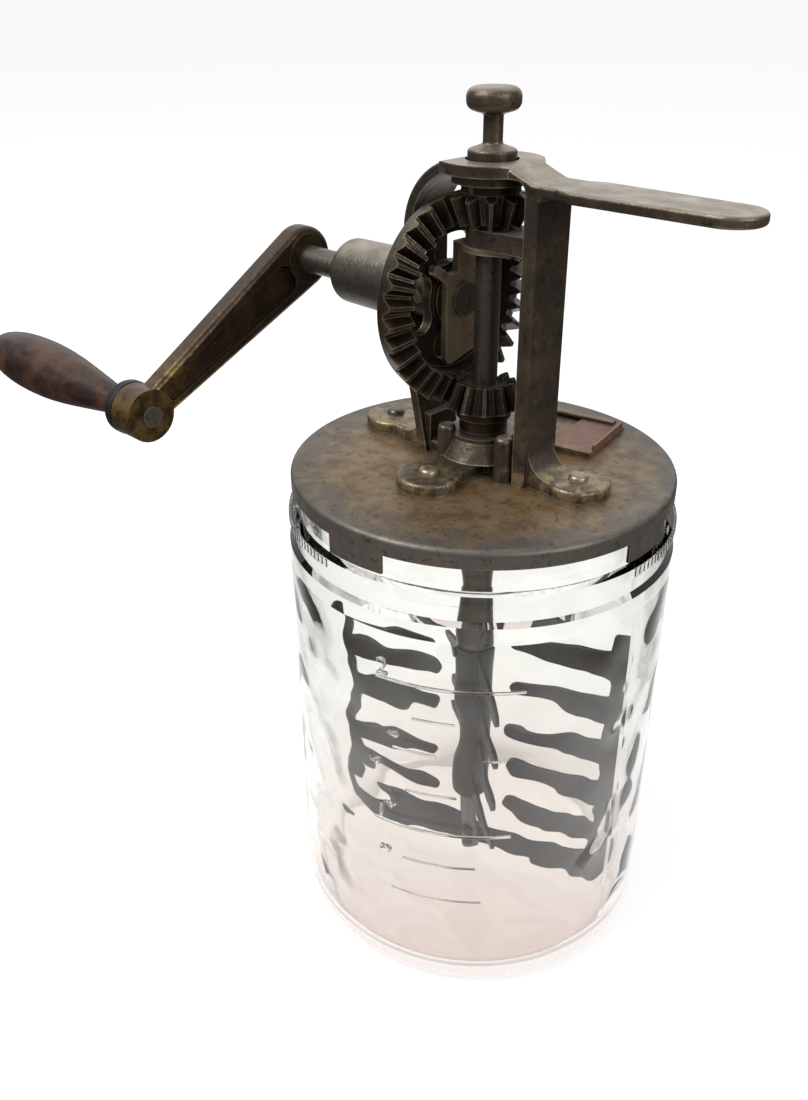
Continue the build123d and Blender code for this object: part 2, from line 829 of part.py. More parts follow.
with BuildPart() as axle_collar:
    with BuildSketch(Plane.YZ.offset(-collar_start)):
        with Locations((0, gear_z)):
            Circle(collar_r)
            Circle(axle_r + press_gap, mode=Mode.SUBTRACT)
    extrude(amount=-collar_t)
axle_collar.part.label = "axle_collar"
export_step(axle_collar.part, "parts/axle_collar.step")

with BuildPart() as crank_arm:
    with BuildSketch(arm_plane):
        Circle(crank_hub_r)
        with Locations((crank_length, 0)):
            Circle(crank_tip_r)
        make_hull()
    extrude(amount=crank_arm_t)
    fillet(crank_arm.edges(), crank_arm_round)
    with BuildSketch(arm_plane, arm_plane.offset(crank_arm_t - crank_recess)):
        with Locations((crank_hub_r + crank_rail, 0)):
            Circle(crank_hub_r - 2 * crank_rail)
        with Locations((crank_length - crank_boss_r - crank_rail, 0)):
            Circle(crank_tip_r - crank_rail)
        make_hull()
    extrude(amount=crank_recess, mode=Mode.SUBTRACT)
    with BuildSketch(arm_plane.offset(-crank_hub_proud)):
        Circle(crank_hub_r - crank_arm_round)
    extrude(amount=crank_arm_t + 2 * crank_hub_proud)
    with BuildSketch(arm_plane.offset(-crank_boss_proud)):
        with Locations((crank_length, 0)):
            Circle(crank_boss_r)
    extrude(amount=crank_arm_t + 2 * crank_boss_proud)
    with BuildSketch(arm_plane.offset(-crank_boss_proud)):
        Circle(axle_r + press_gap)
        with Locations((crank_length, 0)):
            Circle(grip_pin_r + press_gap)
    extrude(amount=crank_arm_t + 2 * crank_boss_proud, mode=Mode.SUBTRACT)
crank_arm.part.label = "crank_arm"
export_step(crank_arm.part, "parts/crank_arm.step")

# ---- Grip and its pin ----
boss_face = arm_end + crank_boss_proud
grip_start = boss_face + grip_gap
wood_start = grip_start + ferrule_len
pin_back = arm_start - crank_boss_proud
grip_bore = grip_pin_r + running_gap

with BuildPart() as grip_pin:
    with BuildSketch(Plane.YZ.offset(-pin_back)):
        with Locations((tip_y, tip_z)):
            Circle(grip_pin_head_r)
    extrude(amount=grip_pin_head_t)
    with BuildSketch(Plane.YZ.offset(-pin_back)):
        with Locations((tip_y, tip_z)):
            Circle(grip_pin_r)
    extrude(amount=pin_back - boss_face - grip_pin_depth)
grip_pin.part.label = "grip_pin"
export_step(grip_pin.part, "parts/grip_pin.step")

with BuildPart() as ferrule:
    with BuildSketch(Plane.YZ.offset(-grip_start)):
        with Locations((tip_y, tip_z)):
            Circle(ferrule_r)
    extrude(amount=-ferrule_len)
    fillet(ferrule.edges(), ferrule_round)
    with BuildSketch(Plane.YZ.offset(-grip_start)):
        with Locations((tip_y, tip_z)):
            Circle(grip_bore)
    extrude(amount=-ferrule_len, mode=Mode.SUBTRACT)
ferrule.part.label = "ferrule"
export_step(ferrule.part, "parts/ferrule.step")

grip_plane = Plane(origin=(-wood_start, tip_y, tip_z), x_dir=(0, 1, 0), z_dir=(0, 0, -1))
grip_axis = Axis((-wood_start, tip_y, tip_z), (-1, 0, 0))
neck_at = grip_neck_ratio * grip_len
bulge_at = grip_bulge_ratio * grip_len
shoulder_at = grip_shoulder_ratio * grip_len
with BuildPart() as wood_grip:
    with BuildSketch(grip_plane):
        with BuildLine():
            Line((0, 0), (grip_shoulder_r, 0))
            Spline(
                (grip_shoulder_r, 0),
                (grip_neck_r, -neck_at),
                (grip_bulge_r, -bulge_at),
                (grip_end_r, -shoulder_at),
                (0, -grip_len),
                tangents=((-1, 0), (-1, 0)),
            )
            Line((0, -grip_len), (0, 0))
        make_face()
    revolve(axis=grip_axis)
    with BuildSketch(Plane.YZ.offset(-wood_start)):
        with Locations((tip_y, tip_z)):
            Circle(grip_bore)
    extrude(amount=wood_start - boss_face - grip_pin_depth - side_play, mode=Mode.SUBTRACT)
wood_grip.part.label = "wood_grip"
export_step(wood_grip.part, "parts/wood_grip.step")

# ---- Spindle, knob and outer dasher ----
bar_low = spindle_end + spindle_below_bar
bar_top = bar_low + dasher_bar_h
dasher_top = lid_top - dasher_drop
top_finger_z = dasher_top - top_finger_drop
low_finger_z = bar_top + low_finger_rise
finger_pitch = (top_finger_z - low_finger_z) / (finger_count - 1)
flat_top = bar_top + spindle_r
flat_face = dasher_sheet / 2
knob_low = bridge_top - knob_well_depth + side_play
spindle_top = knob_low + knob_seat
rivet_levels = [
    bar_low + dasher_bar_h * (row + 0.5) / dasher_rivet_rows for row in range(dasher_rivet_rows)
]
turn = radians(dasher_azimuth)
dasher_plane = Plane(
    origin=(0, 0, 0), x_dir=(cos(turn), sin(turn), 0), z_dir=(sin(turn), -cos(turn), 0)
)

with BuildPart() as spindle_rod:
    with BuildSketch(Plane.XY.offset(spindle_end)):
        Circle(spindle_r)
    extrude(amount=spindle_top - spindle_end)
    with BuildSketch(dasher_plane.offset(flat_face)):
        with Locations((0, (spindle_end + flat_top) / 2)):
            Rectangle(3 * spindle_r, flat_top - spindle_end)
    extrude(amount=-2 * spindle_r, mode=Mode.SUBTRACT)
    with BuildSketch(dasher_plane):
        with Locations(*[(0, level) for level in rivet_levels]):
            Circle(dasher_rivet_r + press_gap)
    extrude(amount=spindle_r, mode=Mode.SUBTRACT)
    with BuildSketch(Plane.XZ):
        with Locations((0, gear_z + pinion_pin_z)):
            Circle(pinion_pin_r + press_gap)
    extrude(amount=spindle_r, both=True, mode=Mode.SUBTRACT)
spindle_rod.part.label = "spindle_rod"
export_step(spindle_rod.part, "parts/spindle_rod.step")

knob_cap_low = knob_low + knob_cap_base
knob_end = knob_cap_low + knob_cap_h
with BuildPart() as lift_knob:
    with BuildSketch(Plane.XZ):
        with BuildLine():
            FilletPolyline(
                (0, knob_low),
                (knob_collar_r, knob_low),
                (knob_collar_r, knob_low + knob_collar_h),
                (knob_stem_r, knob_low + knob_collar_h + knob_stem_r / 2),
                (knob_stem_r, knob_cap_low - knob_stem_r / 2),
                (knob_cap_r, knob_cap_low),
                (knob_cap_r, knob_end),
                (0, knob_end),
                radius=(0, 0, *[knob_stem_round] * 3, knob_cap_round, knob_cap_round, 0),
                close=True,
            )
        make_face()
    revolve(axis=Axis.Z)
    with BuildSketch(Plane.XY.offset(knob_low)):
        Circle(spindle_r + press_gap)
    extrude(amount=knob_seat + press_gap, mode=Mode.SUBTRACT)
lift_knob.part.label = "lift_knob"
export_step(lift_knob.part, "parts/lift_knob.step")

side_out = mouth_r - dasher_mouth_gap
side_in = side_out - dasher_side_w
dasher_h = dasher_top - bar_low
root_half = finger_pitch * finger_root_ratio / 2
tip_half = finger_pitch * finger_tip_ratio / 2
tip_mid = finger_tip_r + tip_half
levels = [low_finger_z + row * finger_pitch for row in range(finger_count)]

with BuildPart() as outer_dasher:
    with BuildSketch(dasher_plane) as dasher_outline:
        with Locations((0, bar_low + dasher_h / 2)):
            Rectangle(2 * side_out, dasher_h)
        with Locations((0, bar_top + dasher_h / 2)):
            Rectangle(2 * side_in, dasher_h, mode=Mode.SUBTRACT)
        fillet(dasher_outline.vertices().group_by(Axis.Y)[0], dasher_corner_r)
        fillet(dasher_outline.vertices().group_by(Axis.Y)[-1], dasher_side_w / 3)
        for side in (-1, 1):
            with Locations(*[(0, level) for level in levels]):
                Polygon(
                    (side * side_out, -root_half),
                    (side * side_out, root_half),
                    (side * tip_mid, tip_half),
                    (side * tip_mid, -tip_half),
                    align=None,
                )
            with Locations(*[(side * tip_mid, level) for level in levels]):
                Circle(tip_half)
        with Locations(*[(0, level) for level in rivet_levels]):
            Circle(dasher_rivet_r + press_gap, mode=Mode.SUBTRACT)
    extrude(amount=dasher_sheet / 2, both=True)
outer_dasher.part.label = "outer_dasher"
export_step(outer_dasher.part, "parts/outer_dasher.step")

rivet_sides = (
    (dasher_plane.offset(-flat_face), -dasher_rivet_head_h),
    (dasher_plane.offset(spindle_r), dasher_rivet_head_h),
)
for row, level in enumerate(rivet_levels):
    with BuildPart() as dasher_rivet:
        with BuildSketch(dasher_plane.offset(-flat_face)):
            with Locations((0, level)):
                Circle(dasher_rivet_r)
        extrude(amount=flat_face + spindle_r)
        for head_plane, head_h in rivet_sides:
            with BuildSketch(head_plane):
                with Locations((0, level)):
                    Circle(dasher_rivet_head_r)
            extrude(amount=head_h)
    rivet_name = "dasher_rivet_" + str(row + 1)
    dasher_rivet.part.label = rivet_name
    export_step(dasher_rivet.part, "parts/" + rivet_name + ".step")

# ---- Sleeve and inner dasher ----
mid_levels = [level + finger_pitch / 2 for level in levels[:-1]]
saddle_low = mid_levels[0] - saddle_below
saddle_top = mid_levels[-1] + saddle_below
saddle_bore = sleeve_r + press_gap
saddle_r = saddle_bore + saddle_wall
sleeve_low = saddle_low - side_play
sleeve_top = gear_z - pinion_front - side_play
sleeve_rivet_z = saddle_top - saddle_below / 2
inner_turn = radians(inner_azimuth)
inner_plane = Plane(
    origin=(0, 0, 0),
    x_dir=(cos(inner_turn), sin(inner_turn), 0),
    z_dir=(sin(inner_turn), -cos(inner_turn), 0),
)
inner_root = finger_pitch * inner_root_ratio / 2
inner_tip = finger_pitch * inner_tip_ratio / 2
inner_tip_mid = inner_half_width - inner_tip
spine_x = saddle_r - saddle_wall / 2

with BuildPart() as sleeve_tube:
    with BuildSketch(Plane.XY.offset(sleeve_low)):
        Circle(sleeve_r)
        Circle(spindle_r + running_gap, mode=Mode.SUBTRACT)
    extrude(amount=sleeve_top - sleeve_low)
    with BuildSketch(inner_plane):
        with Locations((0, sleeve_rivet_z)):
            Circle(sleeve_rivet_r + press_gap)
    extrude(amount=saddle_r, mode=Mode.SUBTRACT)
sleeve_tube.part.label = "sleeve_tube"
export_step(sleeve_tube.part, "parts/sleeve_tube.step")

with BuildPart() as inner_dasher:
    with BuildSketch(Plane.XY.offset(saddle_low)):
        Circle(saddle_r)
    extrude(amount=saddle_top - saddle_low)
    with BuildSketch(inner_plane):
        with Locations((0, (saddle_low + saddle_top) / 2)):
            Rectangle(2 * (spine_x + inner_spine_w), saddle_top - saddle_low)
        for side in (-1, 1):
            with Locations(*[(0, level) for level in mid_levels]):
                Polygon(
                    (side * spine_x, -inner_root),
                    (side * spine_x, inner_root),
                    (side * inner_tip_mid, inner_tip),
                    (side * inner_tip_mid, -inner_tip),
                    align=None,
                )
            with Locations(*[(side * inner_tip_mid, level) for level in mid_levels]):
                Circle(inner_tip)
    extrude(amount=dasher_sheet / 2, both=True)
    with BuildSketch(Plane.XY.offset(saddle_low)):
        Circle(saddle_bore)
    extrude(amount=saddle_top - saddle_low, mode=Mode.SUBTRACT)
    with BuildSketch(inner_plane):
        with Locations((0, sleeve_rivet_z)):
            Circle(sleeve_rivet_r + press_gap)
    extrude(amount=saddle_r, mode=Mode.SUBTRACT)
inner_dasher.part.label = "inner_dasher"
export_step(inner_dasher.part, "parts/inner_dasher.step")

with BuildPart() as sleeve_rivet:
    with BuildSketch(inner_plane.offset(spindle_r + 2 * running_gap)):
        with Locations((0, sleeve_rivet_z)):
            Circle(sleeve_rivet_r)
    extrude(amount=saddle_r - spindle_r - 2 * running_gap)
    with BuildSketch(inner_plane.offset(saddle_r)):
        with Locations((0, sleeve_rivet_z)):
            Circle(sleeve_rivet_head_r)
    extrude(amount=sleeve_rivet_head_h)
sleeve_rivet.part.label = "sleeve_rivet"
export_step(sleeve_rivet.part, "parts/sleeve_rivet.step")

# ---- Filling hatch: plate with a turned-up lip, sliding +X between rails ----
with BuildPart() as hatch_plate:
    with BuildSketch(hatch_plane.offset(hatch_low)):
        Rectangle(hatch_w, hatch_len)
    extrude(amount=hatch_t)
    with BuildSketch(hatch_plane.offset(hatch_low)):
        with Locations((hatch_w / 2 - hatch_t / 2, 0)):
            Rectangle(hatch_t, hatch_len - 2 * (rail_lip + rail_play))
    extrude(amount=hatch_lip_h)
hatch_plate.part.label = "hatch_plate"
export_step(hatch_plate.part, "parts/hatch_plate.step")

rail_edge = hatch_len / 2 + rail_play
rail_out = rail_edge + rail_w - rail_lip
slot_top = hatch_low + hatch_t + hatch_lift
rails = (
    ("hatch_rail_front", -hatch_w / 2, hatch_w, -1),
    ("hatch_rail_back", -hatch_w / 2 - rail_back_lead, rail_back_len, 1),
)
for rail_name, rail_start, rail_len, way in rails:
    rail_plane = Plane(
        origin=hatch_plane.from_local_coords((rail_start, 0, 0)),
        x_dir=hatch_plane.y_dir,
        z_dir=hatch_plane.x_dir,
    )
    with BuildPart() as hatch_rail:
        with BuildSketch(rail_plane):
            with BuildLine():
                Polyline(
                    (way * rail_edge, lid_top),
                    (way * rail_edge, slot_top),
                    (way * (rail_edge - rail_lip), slot_top),
                    (way * (rail_edge - rail_lip), slot_top + rail_t),
                    (way * rail_out, slot_top + rail_t),
                    (way * rail_out, lid_top),
                    close=True,
                )
            make_face()
        extrude(amount=rail_len)
        fillet(hatch_rail.edges().group_by(Axis.Z)[-1], rail_round)
    hatch_rail.part.label = rail_name
    export_step(hatch_rail.part, "parts/" + rail_name + ".step")
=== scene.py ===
# %% [markdown]
# # A hand-cranked mixer jar
# The object is a straight glass jar with a tin lid. A cast frame on the lid
# carries a crank, a bevel gear and two dashers that turn against each other.
# Gears that mesh need exact sizes, so the working parts come from a solid
# model, which is loaded first and stays as it is. This file gives every
# surface its finish and adds the thin raised marks on the glass.

# %% Load the solid model
import math

import bpy
from mathutils import Matrix, Vector


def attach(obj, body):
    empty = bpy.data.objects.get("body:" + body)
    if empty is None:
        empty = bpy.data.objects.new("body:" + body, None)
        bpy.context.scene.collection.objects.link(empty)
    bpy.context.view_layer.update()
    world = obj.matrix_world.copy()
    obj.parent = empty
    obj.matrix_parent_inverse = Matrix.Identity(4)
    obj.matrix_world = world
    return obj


MM = 0.001
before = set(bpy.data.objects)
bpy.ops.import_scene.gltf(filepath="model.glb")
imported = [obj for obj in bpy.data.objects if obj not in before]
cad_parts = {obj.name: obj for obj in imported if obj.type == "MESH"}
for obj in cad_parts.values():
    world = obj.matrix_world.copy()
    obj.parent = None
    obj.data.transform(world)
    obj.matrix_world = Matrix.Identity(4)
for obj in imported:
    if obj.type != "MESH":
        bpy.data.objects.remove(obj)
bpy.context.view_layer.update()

# %% [markdown]
# ## The camera
# The camera stands 15 cm above the lid and 33 cm out from the jar's middle,
# and looks down at 29 degrees. Its lens is an ordinary short one, so the near
# side of the jar looks clearly larger than the far side. It could be aimed
# with a constraint, but three plain turns keep the picture's slight roll. It
# comes first, because everything after it is judged through it.

# %% Camera
CAMERA_AT = Vector((212.4, -253.2, 331.4)) * MM
CAMERA_TURNS = ((44.63, "Z"), (60.87, "X"), (-0.32, "Z"))
LENS_MM, SENSOR_MM = 34.62, 36

camera_data = bpy.data.cameras.new("camera")
camera_data.lens = LENS_MM
camera_data.sensor_width = SENSOR_MM
camera = bpy.data.objects.new("camera", camera_data)
bpy.context.scene.collection.objects.link(camera)
camera_place = Matrix.Translation(CAMERA_AT)
for degrees, axis in CAMERA_TURNS:
    camera_place = camera_place @ Matrix.Rotation(math.radians(degrees), 4, axis)
camera.matrix_world = camera_place
bpy.context.scene.camera = camera
print("camera at", [round(c, 3) for c in CAMERA_AT], "m")

# %% [markdown]
# ## Helpers for colours and nodes
# A colour picker gives sRGB hex codes, but a shader works with linear light,
# so one function turns the first into the second. Nodes could be laid out by
# hand in the shader editor. Written out, a finish reads from top to bottom,
# and ten metals can share it, so one small function adds a node with its
# settings and links.

# %% Colour helper
def linear(code):
    """Turn an sRGB hex code into the linear colour that shaders use."""
    channels = [int(code[i : i + 2], 16) / 255 for i in (1, 3, 5)]
    return tuple(
        c / 12.92 if c <= 0.04045 else ((c + 0.055) / 1.055) ** 2.4 for c in channels
    ) + (1,)


WHITE = linear("#ffffff")
print("a middle grey, #808080, is", round(linear("#808080")[0], 3), "in linear light")

# %% Node helpers
# A Mix node's sockets are told by number: two colours and their mix, or two
# plain values and theirs.
COLOUR_A, COLOUR_B, MIXED_COLOUR = 6, 7, 2
VALUE_A, VALUE_B, MIXED_VALUE = 2, 3, 0


def add_node(owner, kind, inputs=None, **settings):
    """Add one shader node, with its settings, values and incoming links."""
    node = owner.node_tree.nodes.new(kind)
    for key, value in settings.items():
        setattr(node, key, value)
    for socket, value in (inputs or {}).items():
        if isinstance(value, bpy.types.NodeSocket):
            owner.node_tree.links.new(value, node.inputs[socket])
        else:
            node.inputs[socket].default_value = value
    return node


def link(owner, source, target):
    """Join an output to an input of a node that is there already."""
    owner.node_tree.links.new(source, target)


def new_material(name):
    """A node material and its surface shader."""
    material = bpy.data.materials.new(name)
    material.use_nodes = True
    print("finish", name)
    return material, material.node_tree.nodes["Principled BSDF"]


# %% [markdown]
# ## What the metal and the glass see
# Clear glass has no colour of its own. It shows what is round it, bent: the
# white sheet behind it, and at its edges the darker room to the sides. A real
# sheet and walls would do, but they would also shade the jar. So the world is
# white to the camera everywhere, and light that comes by way of the glass or
# the metal finds a grey room beside the sheet and in front of it.

# %% Where the white sheet ends
# The level direction that runs from the viewer past the jar, and the one
# across it.
VIEW = Vector((-0.66, 0.75, 0.0))
ACROSS = Vector((0.75, 0.66, 0.0))


def sheet_edge(owner, way, ahead, beside):
    """1 on the white sheet and 0 in the room, from two pairs of limits."""
    forward = add_node(
        owner, "ShaderNodeVectorMath", {0: way, 1: VIEW}, operation="DOT_PRODUCT"
    )
    sideways = add_node(
        owner, "ShaderNodeVectorMath", {0: way, 1: ACROSS}, operation="DOT_PRODUCT"
    )
    sideways = add_node(
        owner, "ShaderNodeMath", {0: sideways.outputs["Value"]}, operation="ABSOLUTE"
    )
    in_front = add_node(
        owner, "ShaderNodeMapRange",
        {"Value": forward.outputs["Value"], "From Min": ahead[0], "From Max": ahead[1]},
        interpolation_type="SMOOTHSTEP",
    )
    between = add_node(
        owner, "ShaderNodeMapRange",
        {"Value": sideways.outputs[0], "From Min": beside[1], "From Max": beside[0]},
        interpolation_type="SMOOTHSTEP",
    )
    both = add_node(
        owner, "ShaderNodeMath",
        {0: in_front.outputs["Result"], 1: between.outputs["Result"]},
        operation="MULTIPLY",
    )
    return both.outputs[0]


# %% World: white behind the jar, a darker room at the sides and in front
# The sheet's limits are parts of a direction whose length is 1.
SKY_AHEAD, SKY_BESIDE = (-0.45, 0.15), (0.55, 0.85)
ROOM_STRENGTH, SHEET_STRENGTH = 0.3, 1.0
SOFT_STRENGTH = 0.55

world = bpy.data.worlds.new("studio")
bpy.context.scene.world = world
world.use_nodes = True
background = world.node_tree.nodes["Background"]
background.inputs["Color"].default_value = WHITE

way = add_node(world, "ShaderNodeTexCoord").outputs["Generated"]
rays = add_node(world, "ShaderNodeLightPath")
room = add_node(
    world, "ShaderNodeMapRange",
    {
        "Value": sheet_edge(world, way, SKY_AHEAD, SKY_BESIDE),
        "To Min": ROOM_STRENGTH, "To Max": SHEET_STRENGTH,
    },
)
mirror_rays = add_node(
    world, "ShaderNodeMath",
    {0: rays.outputs["Is Glossy Ray"], 1: rays.outputs["Is Transmission Ray"]},
    operation="MAXIMUM",
)
plain = add_node(
    world, "ShaderNodeMapRange",
    {"Value": rays.outputs["Is Camera Ray"], "To Min": SOFT_STRENGTH},
)
strength = add_node(
    world, "ShaderNodeMix",
    {
        "Factor": mirror_rays.outputs[0],
        VALUE_A: plain.outputs["Result"], VALUE_B: room.outputs["Result"],
    },
)
link(world, strength.outputs[MIXED_VALUE], background.inputs["Strength"])
print("world: soft light", SOFT_STRENGTH, "and room", ROOM_STRENGTH)

# %% [markdown]
# ## The table
# The jar stands on a matt white table. Painted pure white it would throw too
# much light up at the metal, so its paint is a pale grey and a glow brings it
# to white for the camera, mirrors and glass alone. The soft shadow round the
# foot of the jar stays, because only the paint takes part in the lighting.

# %% Floor: white to the eye, with the soft shadow kept
# The sheet's limits are metres from the jar's middle.
TABLE_AHEAD, TABLE_BESIDE = (-0.45, -0.07), (0.10, 0.34)
TABLE_SIZE = 60
TABLE_GLOW = 0.66

bpy.ops.object.select_all(action="DESELECT")
bpy.ops.mesh.primitive_plane_add(size=TABLE_SIZE)
floor = bpy.context.object
floor.name = "floor"
# Matt paint: no gloss at all, so nothing of the jar is mirrored in it.
floor_finish, shader = new_material("white_table")
place = add_node(floor_finish, "ShaderNodeTexCoord").outputs["Object"]
rays = add_node(floor_finish, "ShaderNodeLightPath")
on_sheet = add_node(
    floor_finish, "ShaderNodeMath",
    {
        0: sheet_edge(floor_finish, place, TABLE_AHEAD, TABLE_BESIDE),
        1: rays.outputs["Is Camera Ray"],
    },
    operation="MAXIMUM",
)
seen = rays.outputs["Is Camera Ray"]
for ray in ("Is Transmission Ray", "Is Glossy Ray"):
    seen = add_node(
        floor_finish, "ShaderNodeMath", {0: seen, 1: rays.outputs[ray]},
        operation="MAXIMUM",
    ).outputs[0]
glow = seen
for part in (on_sheet.outputs[0], TABLE_GLOW):
    glow = add_node(
        floor_finish, "ShaderNodeMath", {0: glow, 1: part}, operation="MULTIPLY"
    ).outputs[0]
sheet_colour = add_node(
    floor_finish, "ShaderNodeMix",
    {
        "Factor": on_sheet.outputs[0],
        COLOUR_A: linear("#57504c"), COLOUR_B: linear("#bfbebd"),
    },
    data_type="RGBA",
)
link(floor_finish, glow, shader.inputs["Emission Strength"])
link(floor_finish, sheet_colour.outputs[MIXED_COLOUR], shader.inputs["Base Color"])
shader.inputs["Emission Color"].default_value = WHITE
shader.inputs["Roughness"].default_value = 1.0
shader.inputs["Specular IOR Level"].default_value = 0.0
floor.data.materials.append(floor_finish)
print("floor", TABLE_SIZE, "m across")

# %% [markdown]
# ## Lamps
# A wide soft lamp above the front and a weaker one at the right give the metal
# long soft highlights. A sun or a spot would leave small hard glints and a
# sharp shadow, so both are square area lamps.

# %% Lamps
LOOK_AT = Vector((0, 0, 0.2))


def add_lamp(name, place, size, watts):
    """A square soft lamp that looks at the middle of the object."""
    data = bpy.data.lights.new(name, "AREA")
    data.size = size
    data.energy = watts
    lamp = bpy.data.objects.new(name, data)
    lamp.location = place
    lamp.rotation_euler = (LOOK_AT - Vector(place)).to_track_quat("-Z", "Y").to_euler()
    bpy.context.scene.collection.objects.link(lamp)
    print("lamp", name, watts, "W")


add_lamp("key", (-0.5, -1.0, 1.5), size=1.0, watts=22)
add_lamp("side", (1.3, -0.1, 0.9), size=0.9, watts=9)
bpy.context.scene.view_settings.view_transform = "Standard"

# %% [markdown]
# ## Old metal
# Cast iron, tinned sheet, steel and a bronzed casting meet here, and all have
# aged in the same ways. Broad stains some 10 mm across come first, then specks
# of 2 to 3 mm, paler tops from dust and painted sheen, painted shade in the
# corners, and edges that hands and use have rubbed bright, which also stand as
# painted highlights. Photographs of rust could be wrapped round the parts, but
# noise at real sizes runs over every edge with no seam. So one recipe serves all
# the metals, and each gives it its own colours and sizes.

# %% Borders between two parts of a piece
def ragged_step(material, value, start, end, noise, ragged):
    """0 before start and 1 after end, in millimetres, with an uneven border."""
    shift = add_node(
        material, "ShaderNodeMapRange",
        {"Value": noise, "To Min": -ragged * MM, "To Max": ragged * MM},
    )
    moved = add_node(material, "ShaderNodeMath", {0: value, 1: shift.outputs["Result"]})
    step = add_node(
        material, "ShaderNodeMapRange",
        {"Value": moved.outputs[0], "From Min": start * MM, "From Max": end * MM},
    )
    return step.outputs["Result"]


def along(material, place, axis, start, end, noise, ragged):
    """A ragged step along one axis."""
    value = add_node(material, "ShaderNodeSeparateXYZ", {"Vector": place}).outputs[axis]
    return ragged_step(material, value, start, end, noise, ragged)


def away(material, place, centre, squash, start, end, noise, ragged):
    """A ragged step outwards from a line or point. squash is 0 along the line."""
    centred = add_node(
        material, "ShaderNodeVectorMath", {0: place, 1: [c * MM for c in centre]},
        operation="SUBTRACT",
    )
    flat = add_node(
        material, "ShaderNodeVectorMath", {0: centred.outputs["Vector"], 1: squash},
        operation="MULTIPLY",
    )
    reach = add_node(
        material, "ShaderNodeVectorMath", {0: flat.outputs["Vector"]}, operation="LENGTH"
    )
    return ragged_step(material, reach.outputs["Value"], start, end, noise, ragged)


# %% [markdown]
# ### Specks
# Old metal is peppered with spots: pale where the skin has flaked and dark
# where rust has bitten. Two noises could place them, but the high and the low
# end of one noise never overlap, so pale and dark specks stay apart.

# %% Specks
SPECK_MM = 2.6


def specks(material, place):
    """Where the pale specks are, and where the dark ones are."""
    speckle = add_node(
        material, "ShaderNodeTexNoise",
        {"Vector": place, "Scale": 1 / (SPECK_MM * MM), "Detail": 4.0, "Roughness": 0.75},
    ).outputs["Fac"]
    pale = add_node(
        material, "ShaderNodeMapRange",
        {"Value": speckle, "From Min": 0.42, "From Max": 0.3, "To Max": 0.5},
    )
    dark = add_node(
        material, "ShaderNodeMapRange",
        {"Value": speckle, "From Min": 0.57, "From Max": 0.66, "To Max": 0.75},
    )
    return pale.outputs["Result"], dark.outputs["Result"]


# %% [markdown]
# ### Pale tops: dust and painted sheen
# Hands rest on the bridge and the handle, and dust settles there, so faces
# that look up are paler; the same lighter colour is also a painted sheen of the
# light from above. Those faces could be coloured one by one, but the direction
# of a face is known to every shader, and it follows the shape by itself. The
# feet are left out below a height, because the feet are paled in another way.

# %% Pale tops: dust and painted sheen
# The heights in millimetres between which the pale tops begin.
ABOVE_FEET = (190, 200)


def dust_and_sheen_tops(material, place, noise):
    """Faces that look up, above the feet, in patches: dust and painted sheen."""
    facing = add_node(material, "ShaderNodeNewGeometry").outputs["Normal"]
    facing = add_node(material, "ShaderNodeSeparateXYZ", {"Vector": facing}).outputs["Z"]
    upward = add_node(
        material, "ShaderNodeMapRange",
        {"Value": facing, "From Min": 0.55, "From Max": 0.95},
    ).outputs["Result"]
    patchy = add_node(
        material, "ShaderNodeMapRange",
        {"Value": noise, "From Min": 0.3, "From Max": 0.6, "To Min": 1.0, "To Max": 0.35},
    ).outputs["Result"]
    above_feet = along(material, place, "Z", *ABOVE_FEET, noise, ragged=2)
    for part in (patchy, above_feet):
        upward = add_node(
            material, "ShaderNodeMath", {0: upward, 1: part}, operation="MULTIPLY"
        ).outputs[0]
    return upward


# %% [markdown]
# ### Painted shade in corners
# Corners and gaps between parts are darkened to a near-black as painted shade,
# where little light reaches. Ambient occlusion measures just that: how much of
# the space round a point is blocked by metal within a few millimetres.

# %% Painted shade in corners
CORNER_MM = 7
NODE_SAMPLES = 4


def shade_in_corners(material, most):
    """Inner corners, darkened as painted shade."""
    corners = add_node(
        material, "ShaderNodeAmbientOcclusion", {"Distance": CORNER_MM * MM},
        samples=NODE_SAMPLES,
    )
    shading = add_node(
        material, "ShaderNodeMapRange",
        {
            "Value": corners.outputs["AO"], "From Min": 0.25, "From Max": 0.8,
            "To Min": most, "To Max": 0.0,
        },
    )
    return shading.outputs["Result"]


# %% [markdown]
# ### Pale edges: rubbed and painted highlights
# Use wears the skin off the outer edges first, and leaves a thin bright line
# that comes and goes; the same line also stands as a painted highlight along
# the edges. The edges could be picked one by one. A Bevel node finds them all,
# because only there does its rounded normal leave the true one.

# %% Pale edges: rubbed and painted highlights
# The width of a pale edge and of a break in it, and how soon it reaches its full colour.
EDGE_MM, BREAK_MM = 0.7, 3
EDGE_GAIN = 1.8


